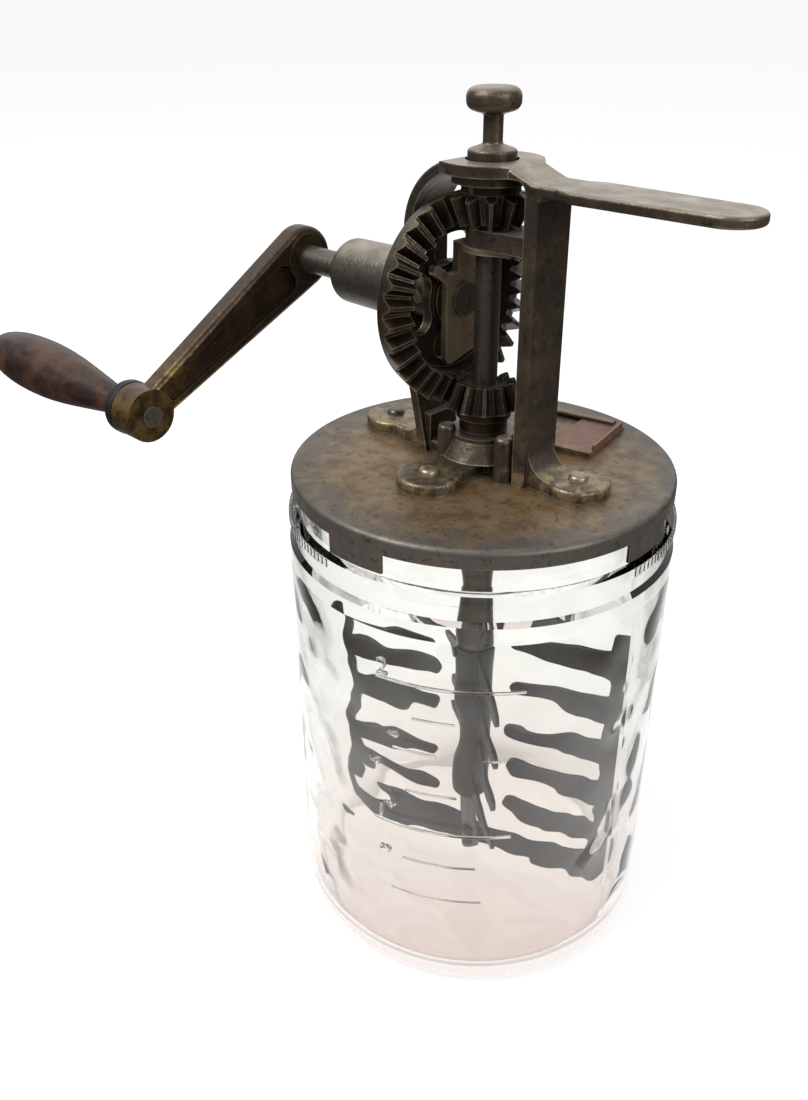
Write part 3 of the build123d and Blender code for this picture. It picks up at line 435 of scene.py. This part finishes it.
def rubbed_and_highlit_edges(material, place, edge_wear_and_highlight):
    """Outer edges, in broken lines: rubbed metal and painted highlights."""
    rounded = add_node(
        material, "ShaderNodeBevel", {"Radius": EDGE_MM * MM}, samples=NODE_SAMPLES
    )
    true_normal = add_node(material, "ShaderNodeNewGeometry").outputs["Normal"]
    agree = add_node(
        material, "ShaderNodeVectorMath",
        {0: rounded.outputs["Normal"], 1: true_normal}, operation="DOT_PRODUCT",
    )
    edge = add_node(
        material, "ShaderNodeMapRange",
        {
            "Value": agree.outputs["Value"], "From Min": 0.99, "From Max": 0.86,
            "To Max": edge_wear_and_highlight,
        },
    )
    broken = add_node(
        material, "ShaderNodeTexNoise",
        {"Vector": place, "Scale": 1 / (BREAK_MM * MM), "Detail": 4.0},
    )
    pale_edge = add_node(
        material, "ShaderNodeMath",
        {0: edge.outputs["Result"], 1: broken.outputs["Fac"]}, operation="MULTIPLY",
    )
    pale_edge = add_node(
        material, "ShaderNodeMath", {0: pale_edge.outputs[0], 1: EDGE_GAIN},
        operation="MULTIPLY", use_clamp=True,
    )
    return pale_edge.outputs[0]


# %% [markdown]
# ### Pits and grain
# Sand leaves lumps some millimetres wide in cast iron, rolling leaves long
# flat ones in sheet, and rust adds fine pits. All are too shallow to change
# the outline, so two bump nodes in a row draw them, the pits on the lumps.

# %% Pits and grain
# Real pits are under half a millimetre wide. These are coarser, so they show.
PIT_MM, PIT_DEPTH_MM = 0.9, 0.25


def pitted(material, place, grain_mm, grain_depth):
    """The normal of a surface with fine pits on broader lumps."""
    pits = add_node(
        material, "ShaderNodeTexNoise",
        {"Vector": place, "Scale": 1 / (PIT_MM * MM), "Detail": 3.0},
    )
    bump = add_node(
        material, "ShaderNodeBump",
        {"Height": pits.outputs["Fac"], "Strength": 0.35, "Distance": PIT_DEPTH_MM * MM},
    )
    lumps = add_node(
        material, "ShaderNodeTexNoise",
        {"Vector": place, "Scale": 1 / (grain_mm * MM), "Detail": 2.0},
    )
    bump = add_node(
        material, "ShaderNodeBump",
        {
            "Height": lumps.outputs["Fac"], "Strength": 0.6,
            "Distance": grain_depth * grain_mm * MM, "Normal": bump.outputs["Normal"],
        },
    )
    return bump.outputs["Normal"]


# %% [markdown]
# ### The whole recipe
# The colours are laid over each other: stains and specks as the years laid
# them, then the pale tops of dust and painted sheen, the painted shade in
# corners, and last the edges, pale from rubbing and from painted highlights. A
# chain of Mix nodes does that, and each layer covers the ones before it only
# where its factor says so.

# %% The whole recipe
# The near-black of the painted shade in corners.
CORNER_SHADE_COLOUR = "#17130f"


def aged_metal(
    name, base, stain, bright, rough, stain_mm, metallic=0.75, edge_wear_and_highlight=0.6, zone=None,
    top_dust_and_sheen=None, grain_mm=5.0, grain_depth=0.12, corner_darkening=0.75, pale="#6b6255", dark="#2a241d",
):
    """Stained metal whose edges are lighter, from rubbing and painted highlights.

    base and stain are the two main colours, bright that of the edges, which are
    rubbed and carry painted highlights, and pale and dark those of the specks.
    zone, where given, is a function that returns the place and the colour of a
    part that has aged differently; on the frame the feet and the handle's end
    also carry painted highlights. The top colour is that of faces that look up,
    where hands and dust have been, and also a painted sheen of the light from
    above. The corner darkening is how dark the painted shade in corners gets.
    grain_depth is the depth of the lumps as a share of grain_mm, the width of one.
    """
    material, shader = new_material(name)
    place = add_node(material, "ShaderNodeTexCoord").outputs["Object"]
    stains = add_node(
        material, "ShaderNodeTexNoise",
        {"Vector": place, "Scale": 1 / (stain_mm * MM), "Detail": 6.0, "Roughness": 0.65},
    ).outputs["Fac"]
    spread = add_node(
        material, "ShaderNodeMapRange", {"Value": stains, "From Min": 0.42, "From Max": 0.66}
    )
    pale_specks, dark_specks = specks(material, place)
    layers = [(spread.outputs["Result"], linear(stain)), (pale_specks, linear(pale))]
    if zone:
        layers.append(zone(material, place, stains))
    layers.append((dark_specks, linear(dark)))
    # Faces that look up: dust, and a painted sheen of the light from above.
    if top_dust_and_sheen:
        layers.append((dust_and_sheen_tops(material, place, stains), linear(top_dust_and_sheen)))
    # Painted shade in the corners, from ambient occlusion.
    layers.append((shade_in_corners(material, corner_darkening), linear(CORNER_SHADE_COLOUR)))
    # Edges last: rubbed metal, and painted highlights.
    layers.append((rubbed_and_highlit_edges(material, place, edge_wear_and_highlight), linear(bright)))
    colour = linear(base)
    for factor, over in layers:
        colour = add_node(
            material, "ShaderNodeMix",
            {"Factor": factor, COLOUR_A: colour, COLOUR_B: over}, data_type="RGBA",
        ).outputs[MIXED_COLOUR]
    gloss = add_node(
        material, "ShaderNodeMapRange",
        {"Value": stains, "To Min": rough - 0.1, "To Max": rough + 0.12},
    )
    link(material, colour, shader.inputs["Base Color"])
    link(material, gloss.outputs["Result"], shader.inputs["Roughness"])
    link(material, pitted(material, place, grain_mm, grain_depth), shader.inputs["Normal"])
    shader.inputs["Metallic"].default_value = metallic
    return material


# %% [markdown]
# ## Parts that have aged differently, and painted highlights
# The long boss of the frame has a greener skin than the rest, its feet and the
# handle's end are worn pale and carry painted highlights in that pale colour,
# the gear's rim is rubbed brown, the lid's rolled edge has kept a dark scale,
# and the crank's end boss its golden lacquer. Each could be a material of its
# own on chosen faces, but then the change would be a hard line. A distance
# that is shifted by the same noise as the stains gives the border of a worn
# coat.

# %% Places of those parts, in millimetres
# The gear's axle lies along X and the lid's axis along Z. squash keeps the two
# directions across such a line.
GEAR_AXIS, LID_TOP = (0, 0, 236.485), (0, 0, 183)
ACROSS_X, ACROSS_Z = (0, 1, 1), (1, 1, 0)
BOSS_STARTS, HANDLE_END, CRANK_BOSS = (-30, -26), (62, 84), (-66, -50)
FEET_HEIGHT, FEET_REACH = (187.5, 189.5), (15, 22)
GEAR_RIM, LID_EDGE = (32, 37), (46, 66)
print("rubbed rim of the gear from", GEAR_RIM[0], "to", GEAR_RIM[1], "mm from its axle")

# %% Mottled patches
PATCH_MM = 5


def mottled_patches(material, place, start, end, least=0.0):
    """Patches some 5 mm across that come and go between two noise levels."""
    noise = add_node(
        material, "ShaderNodeTexNoise",
        {"Vector": place, "Scale": 1 / (PATCH_MM * MM), "Detail": 4.0, "Roughness": 0.7},
    )
    patches = add_node(
        material, "ShaderNodeMapRange",
        {
            "Value": noise.outputs["Fac"], "From Min": start, "From Max": end,
            "To Min": least,
        },
    )
    return patches.outputs["Result"]


# %% Zones of the frame, the gear, the lid and the crank
def iron_zones(material, place, noise):
    """The long boss is greener than the frame; the feet and the handle's end are worn pale,
    with painted highlights.
    """
    near = along(material, place, "X", *BOSS_STARTS, noise, ragged=2)
    boss = add_node(material, "ShaderNodeMath", {0: 1.0, 1: near}, operation="SUBTRACT")
    high = along(material, place, "Z", *FEET_HEIGHT, noise, ragged=2.5)
    low = add_node(material, "ShaderNodeMath", {0: 1.0, 1: high}, operation="SUBTRACT")
    outside = away(material, place, LID_TOP, ACROSS_Z, *FEET_REACH, noise, ragged=4)
    foot = low.outputs[0]
    for part in (outside, mottled_patches(material, place, 0.4, 0.58, least=0.15)):
        foot = add_node(
            material, "ShaderNodeMath", {0: foot, 1: part}, operation="MULTIPLY"
        ).outputs[0]
    handle_end = along(material, place, "X", *HANDLE_END, noise, ragged=12)
    handle_end = add_node(
        material, "ShaderNodeMath", {0: handle_end, 1: 0.5}, operation="MULTIPLY"
    )
    # Pale feet and handle's end: wear, with painted highlights in it.
    pale_wear_and_highlight = add_node(
        material, "ShaderNodeMath", {0: foot, 1: handle_end.outputs[0]},
        operation="MAXIMUM",
    )
    colour = add_node(
        material, "ShaderNodeMix",
        {
            "Factor": pale_wear_and_highlight.outputs[0],
            COLOUR_A: linear("#55524a"), COLOUR_B: linear("#9a8869"),
        },
        data_type="RGBA",
    )
    factor = add_node(
        material, "ShaderNodeMath", {0: boss.outputs[0], 1: pale_wear_and_highlight.outputs[0]},
        operation="MAXIMUM",
    )
    return factor.outputs[0], colour.outputs[MIXED_COLOUR]


def gear_zone(material, place, noise):
    """The rim of the big gear is rubbed to a pale brown."""
    rim = away(material, place, GEAR_AXIS, ACROSS_X, *GEAR_RIM, noise, ragged=3)
    return rim, linear("#7b6647")


def lid_zone(material, place, noise):
    """The lid's rolled edge has kept a dark blue-grey scale."""
    edge = away(material, place, LID_TOP, ACROSS_Z, *LID_EDGE, noise, ragged=26)
    return edge, linear("#625f5a")


def crank_zone(material, place, noise):
    """The end boss of the crank has kept its golden brown lacquer."""
    arm = along(material, place, "Y", *CRANK_BOSS, noise, ragged=8)
    boss = add_node(material, "ShaderNodeMath", {0: 1.0, 1: arm}, operation="SUBTRACT")
    colour = add_node(
        material, "ShaderNodeMix",
        {
            "Factor": mottled_patches(material, place, 0.42, 0.6),
            COLOUR_A: linear("#776138"), COLOUR_B: linear("#43301f"),
        },
        data_type="RGBA",
    )
    return boss.outputs[0], colour.outputs[MIXED_COLOUR]


# %% [markdown]
# ## Cast iron
# The frame, the gear and the pinions were poured in sand, so their skin is
# lumpy at 2 to 3 mm, and long handling has turned it a warm near-black. The
# lumps could be sculpted, but they are under half a millimetre high, and bump
# shows that well. The toothed pieces are the same iron with more oil and dirt.

# %% Cast iron
# Sand-cast iron, handled for years: a satin dark brown with a fine grain, edges
# pale from rubbing and painted highlights, and a paler top on the bridge and
# handle from dust and painted sheen.
cast_iron = aged_metal(
    "dark_cast_iron", "#4d463d", "#655848", "#c0b5a2", rough=0.38, stain_mm=12,
    metallic=0.7, edge_wear_and_highlight=0.85, zone=iron_zones, top_dust_and_sheen="#b8ad9d", grain_mm=3.0,
    grain_depth=0.12, pale="#80776a",
)
# The same iron, cast with its teeth: nearly black, with painted shade between
# the teeth, tooth edges pale from rubbing and painted highlights, and a pale
# brown rim.
gear_iron = aged_metal(
    "toothed_cast_iron", "#2d261f", "#40352a", "#a89b82", rough=0.36, stain_mm=7,
    metallic=0.7, edge_wear_and_highlight=0.85, zone=gear_zone, grain_mm=2.5, grain_depth=0.12, corner_darkening=0.6,
    pale="#564a3c", dark="#1c1713",
)
# The small wheels' iron: a shade lighter than the gear, and all teeth, so it
# has edges to shine but no rim.
pinion_iron = aged_metal(
    "small_toothed_cast_iron", "#332b24", "#493c2e", "#9c8f78", rough=0.38, stain_mm=7,
    metallic=0.7, edge_wear_and_highlight=0.85, grain_mm=2.5, grain_depth=0.12, corner_darkening=0.6, pale="#5e5242",
    dark="#1f1914",
)

# %% [markdown]
# ## Tinned and coppery sheet
# The lid, its rails and the dashers are rolled sheet with a skin of tin. Such
# sheet is flat and smooth, so its colour comes from what the tin has turned
# to: tan with rust on the lid, grey inside the jar. Clean mirror-like tin is
# easier to make and wrong for this age, so the metal is kept dull and stained.

# %% Sheet
# Pressed tinplate, long dull: tan with soft rust stains, and a dark edge.
tin = aged_metal(
    "dulled_tinplate", "#85745a", "#6f4f27", "#a39a8a", rough=0.42, stain_mm=8,
    metallic=0.55, edge_wear_and_highlight=0.35, zone=lid_zone, grain_mm=9.0, grain_depth=0.03,
    pale="#9b8c71", dark="#452f1a",
)
# The hatch's thin plate: a reddish brown scale like old copper, nearly matt.
copper_sheet = aged_metal(
    "coppery_sheet", "#8d6656", "#7b6252", "#a89478", rough=0.44, stain_mm=6,
    metallic=0.5, grain_depth=0.05, corner_darkening=0.5, pale="#9a8474", dark="#5e463b",
)
# The dashers' sheet: tin gone dark grey, an even dull shape behind the glass.
dasher_tin = aged_metal(
    "grey_tinned_sheet", "#3d3835", "#322c29", "#7e7872", rough=0.4, stain_mm=14,
    metallic=0.7, grain_depth=0.05, pale="#4d4844",
)

# %% [markdown]
# ## Steel, the bronzed crank and the ferrule
# The rods and pins are turned steel, smoother and greyer than the iron. The
# bracket and the rivets' heads are rubbed almost bright. The crank is a
# casting with what is left of a bronze lacquer, and the grip's ring is
# blackened. They take the same recipe with less grain or darker colours,
# because they have lived beside the iron and show the same wear.

# %% Steel, crank and ferrule
# Turned steel bar: a smooth middle grey with a soft line of light along it.
steel = aged_metal(
    "plain_steel", "#6a665f", "#6b6358", "#b3ada1", rough=0.34, stain_mm=9,
    metallic=0.8, edge_wear_and_highlight=0.8, grain_depth=0.04, corner_darkening=0.25,
)
# Sheet that rags and hands have polished, for the bracket, and the heads of
# the front and right foot rivets, drawn lighter than the left and rear ones:
# warm and bright.
bright_steel = aged_metal(
    "rubbed_sheet_steel", "#978773", "#a08d74", "#e0d5c0", rough=0.32, stain_mm=8,
    metallic=0.7, edge_wear_and_highlight=0.9, grain_depth=0.06, corner_darkening=0.2, dark="#5d4a38",
)
# Lacquered casting, worn through along the arm: dark brown with gold left at
# the end boss, and faces that look up paler from dust and painted sheen.
bronzed = aged_metal(
    "bronzed_casting", "#3b2f25", "#4f4031", "#8c7a5a", rough=0.34, stain_mm=10,
    metallic=0.7, edge_wear_and_highlight=0.6, zone=crank_zone, top_dust_and_sheen="#54463a", grain_mm=3.0,
    grain_depth=0.12,
)
# Blackened steel ring: almost no colour, only its edges catch light.
ferrule_black = aged_metal(
    "black_ferrule", "#201d1b", "#2f2a27", "#6a6258", rough=0.4, stain_mm=6,
    metallic=0.5, pale="#35302c", dark="#141210",
)

# %% [markdown]
# ## Wood
# The grip is a dark stained hardwood, turned on a lathe. Its grain runs along
# the grip, and hands have polished it and worn the stain through in patches.
# A pale wood would need its growth rings, with the loops where the lathe cut
# through them. Under this dark stain only long streaks show, and noise that is
# stretched along the grip gives those.

# %% Stained wood
# Real pores lie under a millimetre apart. The streaks are drawn coarser, so
# they show.
GRAIN_MM, GRAIN_STRETCH = 1.6, 0.06
WORN_MM = 14

# Close-grained hardwood, turned, stained and waxed: nearly black brown with
# a soft shine, red-brown where the stain has gone.
stained_wood, shader = new_material("stained_turned_wood")
place = add_node(stained_wood, "ShaderNodeTexCoord").outputs["Object"]
stretched = add_node(
    stained_wood, "ShaderNodeMapping", {"Vector": place, "Scale": (GRAIN_STRETCH, 1.0, 1.0)}
)
grain = add_node(
    stained_wood, "ShaderNodeTexNoise",
    {
        "Vector": stretched.outputs["Vector"], "Scale": 1 / (GRAIN_MM * MM),
        "Detail": 5.0, "Roughness": 0.6,
    },
)
tone = add_node(stained_wood, "ShaderNodeValToRGB", {"Fac": grain.outputs["Fac"]})
for stop, position, code in zip(tone.color_ramp.elements, (0.32, 0.7), ("#191010", "#3a2721")):
    stop.position = position
    stop.color = linear(code)
bump = add_node(
    stained_wood, "ShaderNodeBump",
    {"Height": grain.outputs["Fac"], "Strength": 0.2, "Distance": 0.2 * MM},
)
patches = add_node(
    stained_wood, "ShaderNodeTexNoise",
    {"Vector": place, "Scale": 1 / (WORN_MM * MM), "Detail": 4.0, "Roughness": 0.6},
)
worn_through = add_node(
    stained_wood, "ShaderNodeMapRange",
    {"Value": patches.outputs["Fac"], "From Min": 0.46, "From Max": 0.62, "To Max": 0.6},
)
stain_colour = add_node(
    stained_wood, "ShaderNodeMix",
    {
        "Factor": worn_through.outputs["Result"],
        COLOUR_A: tone.outputs["Color"], COLOUR_B: linear("#62412c"),
    },
    data_type="RGBA",
)
link(stained_wood, stain_colour.outputs[MIXED_COLOUR], shader.inputs["Base Color"])
link(stained_wood, bump.outputs["Normal"], shader.inputs["Normal"])
shader.inputs["Roughness"].default_value = 0.38
shader.inputs["Specular IOR Level"].default_value = 0.3

# %% [markdown]
# ## Glass
# Old pressed glass is clear but never flat. Its wall wavers over 15 to 30 mm,
# which bends what stands behind it, and age gives the thick base a faint
# violet tint. Towards the base the glass is also drawn a darker warm grey, as
# painted shadow of the table under the jar. The waves could be modelled in the
# wall, but it has to stay true to its solid, so a broad bump bends the light
# instead.

# %% Wavy glass
# Heights in millimetres: where the tint and painted shadow are full, and where the glass is
# clear.
BASE_TINT_AND_SHADOW_MM, CLEAR_FROM_MM = 6, 70
WAVE_MM, WAVE_DEPTH_MM = 30, 4.0

# Soda-lime glass, pressed in an iron mould: fire-polished and quite smooth,
# with slow waves that stretch and break up the dashers behind it.
old_glass, shader = new_material("pressed_glass")
place = add_node(old_glass, "ShaderNodeTexCoord").outputs["Object"]
height = add_node(old_glass, "ShaderNodeSeparateXYZ", {"Vector": place}).outputs["Z"]
# The base's colour: the glass's own tint, darkened as painted shadow.
tint_and_shadow = add_node(
    old_glass, "ShaderNodeMapRange",
    {"Value": height, "From Min": BASE_TINT_AND_SHADOW_MM * MM, "From Max": CLEAR_FROM_MM * MM},
)
glass_colour = add_node(
    old_glass, "ShaderNodeMix",
    {
        "Factor": tint_and_shadow.outputs["Result"],
        COLOUR_A: linear("#e6dcd7"), COLOUR_B: linear("#f7f8f5"),
    },
    data_type="RGBA",
)
waves = add_node(
    old_glass, "ShaderNodeTexNoise",
    {"Vector": place, "Scale": 1 / (WAVE_MM * MM), "Detail": 1.0},
)
bump = add_node(
    old_glass, "ShaderNodeBump",
    {"Height": waves.outputs["Fac"], "Strength": 0.6, "Distance": WAVE_DEPTH_MM * MM},
)
link(old_glass, glass_colour.outputs[MIXED_COLOUR], shader.inputs["Base Color"])
link(old_glass, bump.outputs["Normal"], shader.inputs["Normal"])
shader.inputs["Transmission Weight"].default_value = 1.0
shader.inputs["Roughness"].default_value = 0.02
shader.inputs["IOR"].default_value = 1.5

# %% [markdown]
# ## Ribs on the ring under the shoulder
# The mould left short upright ribs on the ring at both sides of the jar, so a
# wet hand can hold it. An array modifier could repeat them, but it runs in a
# straight line. So one rib is made from a cube with rounded edges, and the
# spin tool sets copies of it round the jar.

# %% Start and finish of a raised mark
JAR_R = 66.5 * MM
SMOOTH_DEGREES = 40


def start_piece():
    """Leave edit mode and deselect everything before a new primitive."""
    if bpy.context.object and bpy.context.object.mode != "OBJECT":
        bpy.ops.object.mode_set(mode="OBJECT")
    bpy.ops.object.select_all(action="DESELECT")


def edit_all():
    """Go into edit mode with the whole mesh selected."""
    bpy.ops.object.mode_set(mode="EDIT")
    bpy.ops.mesh.select_all(action="SELECT")


def finish_piece(name, body, finish):
    """Apply the piece's place, name it and let it ride on its body."""
    piece = bpy.context.object
    bpy.ops.object.mode_set(mode="OBJECT")
    bpy.ops.object.transform_apply(location=True, rotation=True, scale=True)
    bpy.ops.object.shade_smooth_by_angle(angle=math.radians(SMOOTH_DEGREES))
    piece.name = name
    piece.data.materials.clear()
    piece.data.materials.append(finish)
    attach(piece, body)
    print(name, len(piece.data.polygons), "faces")
    return piece


# %% Two arcs of ribs
# Side, direction of the first rib and sweep in degrees. The spin tool turns
# clockwise here, seen from above, so an arc starts at its highest direction.
RIB_ARCS = (("right", 84, 87), ("left", -96, 87))
RIBS = 44
RIB_SIZE = (0.8 * MM, 1.2 * MM, 2.9 * MM)
RIB_ROUND = 0.3 * MM
RIB_R = JAR_R - 0.45 * MM
RING_Z = (165.0 + 168.5) / 2 * MM

for side, start, sweep in RIB_ARCS:
    start_piece()
    turned = math.radians(start)
    bpy.ops.mesh.primitive_cube_add(
        size=1,
        location=(RIB_R * math.cos(turned), RIB_R * math.sin(turned), RING_Z),
        rotation=(0, 0, turned),
        scale=RIB_SIZE,
    )
    bpy.ops.object.transform_apply(location=True, rotation=True, scale=True)
    edit_all()
    bpy.ops.mesh.bevel(offset=RIB_ROUND, segments=2, affect="EDGES")
    bpy.ops.mesh.select_all(action="SELECT")
    bpy.ops.mesh.spin(
        steps=RIBS, dupli=True, angle=math.radians(sweep), center=(0, 0, 0), axis=(0, 0, 1)
    )
    finish_piece(f"milled_ribs_{side}", "jar", old_glass)

# %% [markdown]
# ## Level lines
# Thin raised lines on the front tell how full the jar is. A curve with a round
# bevel would make them too, but it has to be turned into a mesh afterwards. A
# small filled circle that is spun through its arc is a closed mesh at once,
# and half of it stays sunk in the wall, as a moulded line is one with it.

# %% Level lines
# Height in millimetres, first and last direction in degrees, and half the
# thickness in millimetres.
LEVELS = (
    (134.0, -78, -36, 0.6),
    (121.0, -67, -55, 0.45),
    (107.5, -73, -60, 0.45),
    (106.8, -47, -42, 0.45),
    (90.8, -69, -54, 0.45),
    (74.2, -79, -38, 0.6),
    (59.6, -70, -48, 0.45),
    (43.6, -74, -46, 0.35),
)
LINE_SIDES, LINE_STEPS = 10, 24
MERGE = 0.005 * MM

for number, (height, first, last, thick) in enumerate(LEVELS):
    start_piece()
    turned = math.radians(last)
    bpy.ops.mesh.primitive_circle_add(
        vertices=LINE_SIDES,
        radius=thick * MM,
        fill_type="NGON",
        location=(JAR_R * math.cos(turned), JAR_R * math.sin(turned), height * MM),
        rotation=(math.pi / 2, 0, turned),
    )
    bpy.ops.object.transform_apply(location=True, rotation=True)
    edit_all()
    bpy.ops.mesh.spin(
        steps=LINE_STEPS, angle=math.radians(last - first), center=(0, 0, 0), axis=(0, 0, 1)
    )
    bpy.ops.mesh.select_all(action="SELECT")
    bpy.ops.mesh.remove_doubles(threshold=MERGE)
    bpy.ops.mesh.select_all(action="SELECT")
    bpy.ops.mesh.normals_make_consistent(inside=False)
    line = finish_piece(f"level_line_{number + 1}", "jar", old_glass)
    reach = [math.degrees(math.atan2(point.co.y, point.co.x)) for point in line.data.vertices]
    print("from", round(min(reach), 1), "to", round(max(reach), 1), "degrees")

# %% [markdown]
# ## Plain numbers beside the lines
# Each main level has a raised number, and the small ones lie on their side. A
# number could be modelled stroke by stroke. Blender's own text is quicker and
# has even strokes: it is given thickness and a rounded edge, turned into a
# mesh, and its points are then laid round the wall.

# %% Plain numbers beside the lines
# Number, direction in degrees, height and letter size in millimetres, and
# whether it lies on its side.
NUMBERS = (
    ("2", -76, 135.5, 8.5, False),
    ("1", -77, 75.7, 8.5, False),
    ("6", -71, 113.0, 6.0, True),
    ("5", -77, 99.5, 6.0, True),
    ("4", -72, 82.0, 6.0, True),
    ("3", -74, 61.5, 6.0, True),
)
HALF_THICK, LETTER_ROUND = 0.5 * MM, 0.15 * MM


def glass_number(text, middle, height, size, lying):
    """A raised number, laid round the jar's wall."""
    start_piece()
    bpy.ops.object.text_add()
    letters = bpy.context.object
    letters.data.body = text
    letters.data.size = size * MM
    letters.data.extrude = HALF_THICK
    letters.data.bevel_depth = LETTER_ROUND
    letters.data.align_x = "CENTER"
    letters.data.resolution_u = 4
    bpy.ops.object.convert(target="MESH")
    edit_all()
    bpy.ops.mesh.remove_doubles(threshold=MERGE)
    bpy.ops.object.mode_set(mode="OBJECT")
    for point in bpy.context.object.data.vertices:
        across, up, out = point.co
        if lying:
            across, up = -up, across
        turned = math.radians(middle) + across / JAR_R
        reach = JAR_R + out
        point.co = (reach * math.cos(turned), reach * math.sin(turned), height * MM + up)
    return finish_piece(f"glass_number_{text}", "jar", old_glass)


for number in NUMBERS:
    glass_number(*number)

# %% [markdown]
# ## Which solid has which finish
# Every solid already has the right shape, so it only needs its finish in its
# material slots. A finish could be picked by the solid's body, but one body
# holds several metals, so each solid is named here.

# %% Give every solid its finish
finishes = {
    "glass_jar": old_glass,
    "lid_cap": tin,
    "hatch_rail_front": tin,
    "hatch_rail_back": tin,
    "hatch_plate": copper_sheet,
    "frame_casting": cast_iron,
    "sleeve_bush": steel,
    "axle_bracket": bright_steel,
    "bracket_rivet": steel,
    # The front and right foot rivets are given the lighter steel, the left and rear ones the
    # plain steel.
    "foot_rivet_left": steel,
    "foot_rivet_right": bright_steel,
    "foot_rivet_front": bright_steel,
    "foot_rivet_rear": steel,
    "crank_arm": bronzed,
    "axle_collar": bronzed,
    "crank_axle": steel,
    "grip_pin": steel,
    "gear_pin": steel,
    "drive_gear": gear_iron,
    "upper_pinion": pinion_iron,
    "lower_pinion": pinion_iron,
    "pinion_pin": steel,
    "lift_knob": cast_iron,
    "spindle_rod": steel,
    "sleeve_tube": steel,
    "wood_grip": stained_wood,
    "ferrule": ferrule_black,
    "outer_dasher": dasher_tin,
    "inner_dasher": dasher_tin,
    "dasher_rivet_1": dasher_tin,
    "dasher_rivet_2": dasher_tin,
    "sleeve_rivet": dasher_tin,
}
for node_name, finish in finishes.items():
    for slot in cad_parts[node_name].material_slots:
        slot.material = finish
print("finished", len(finishes), "of", len(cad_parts), "solids")
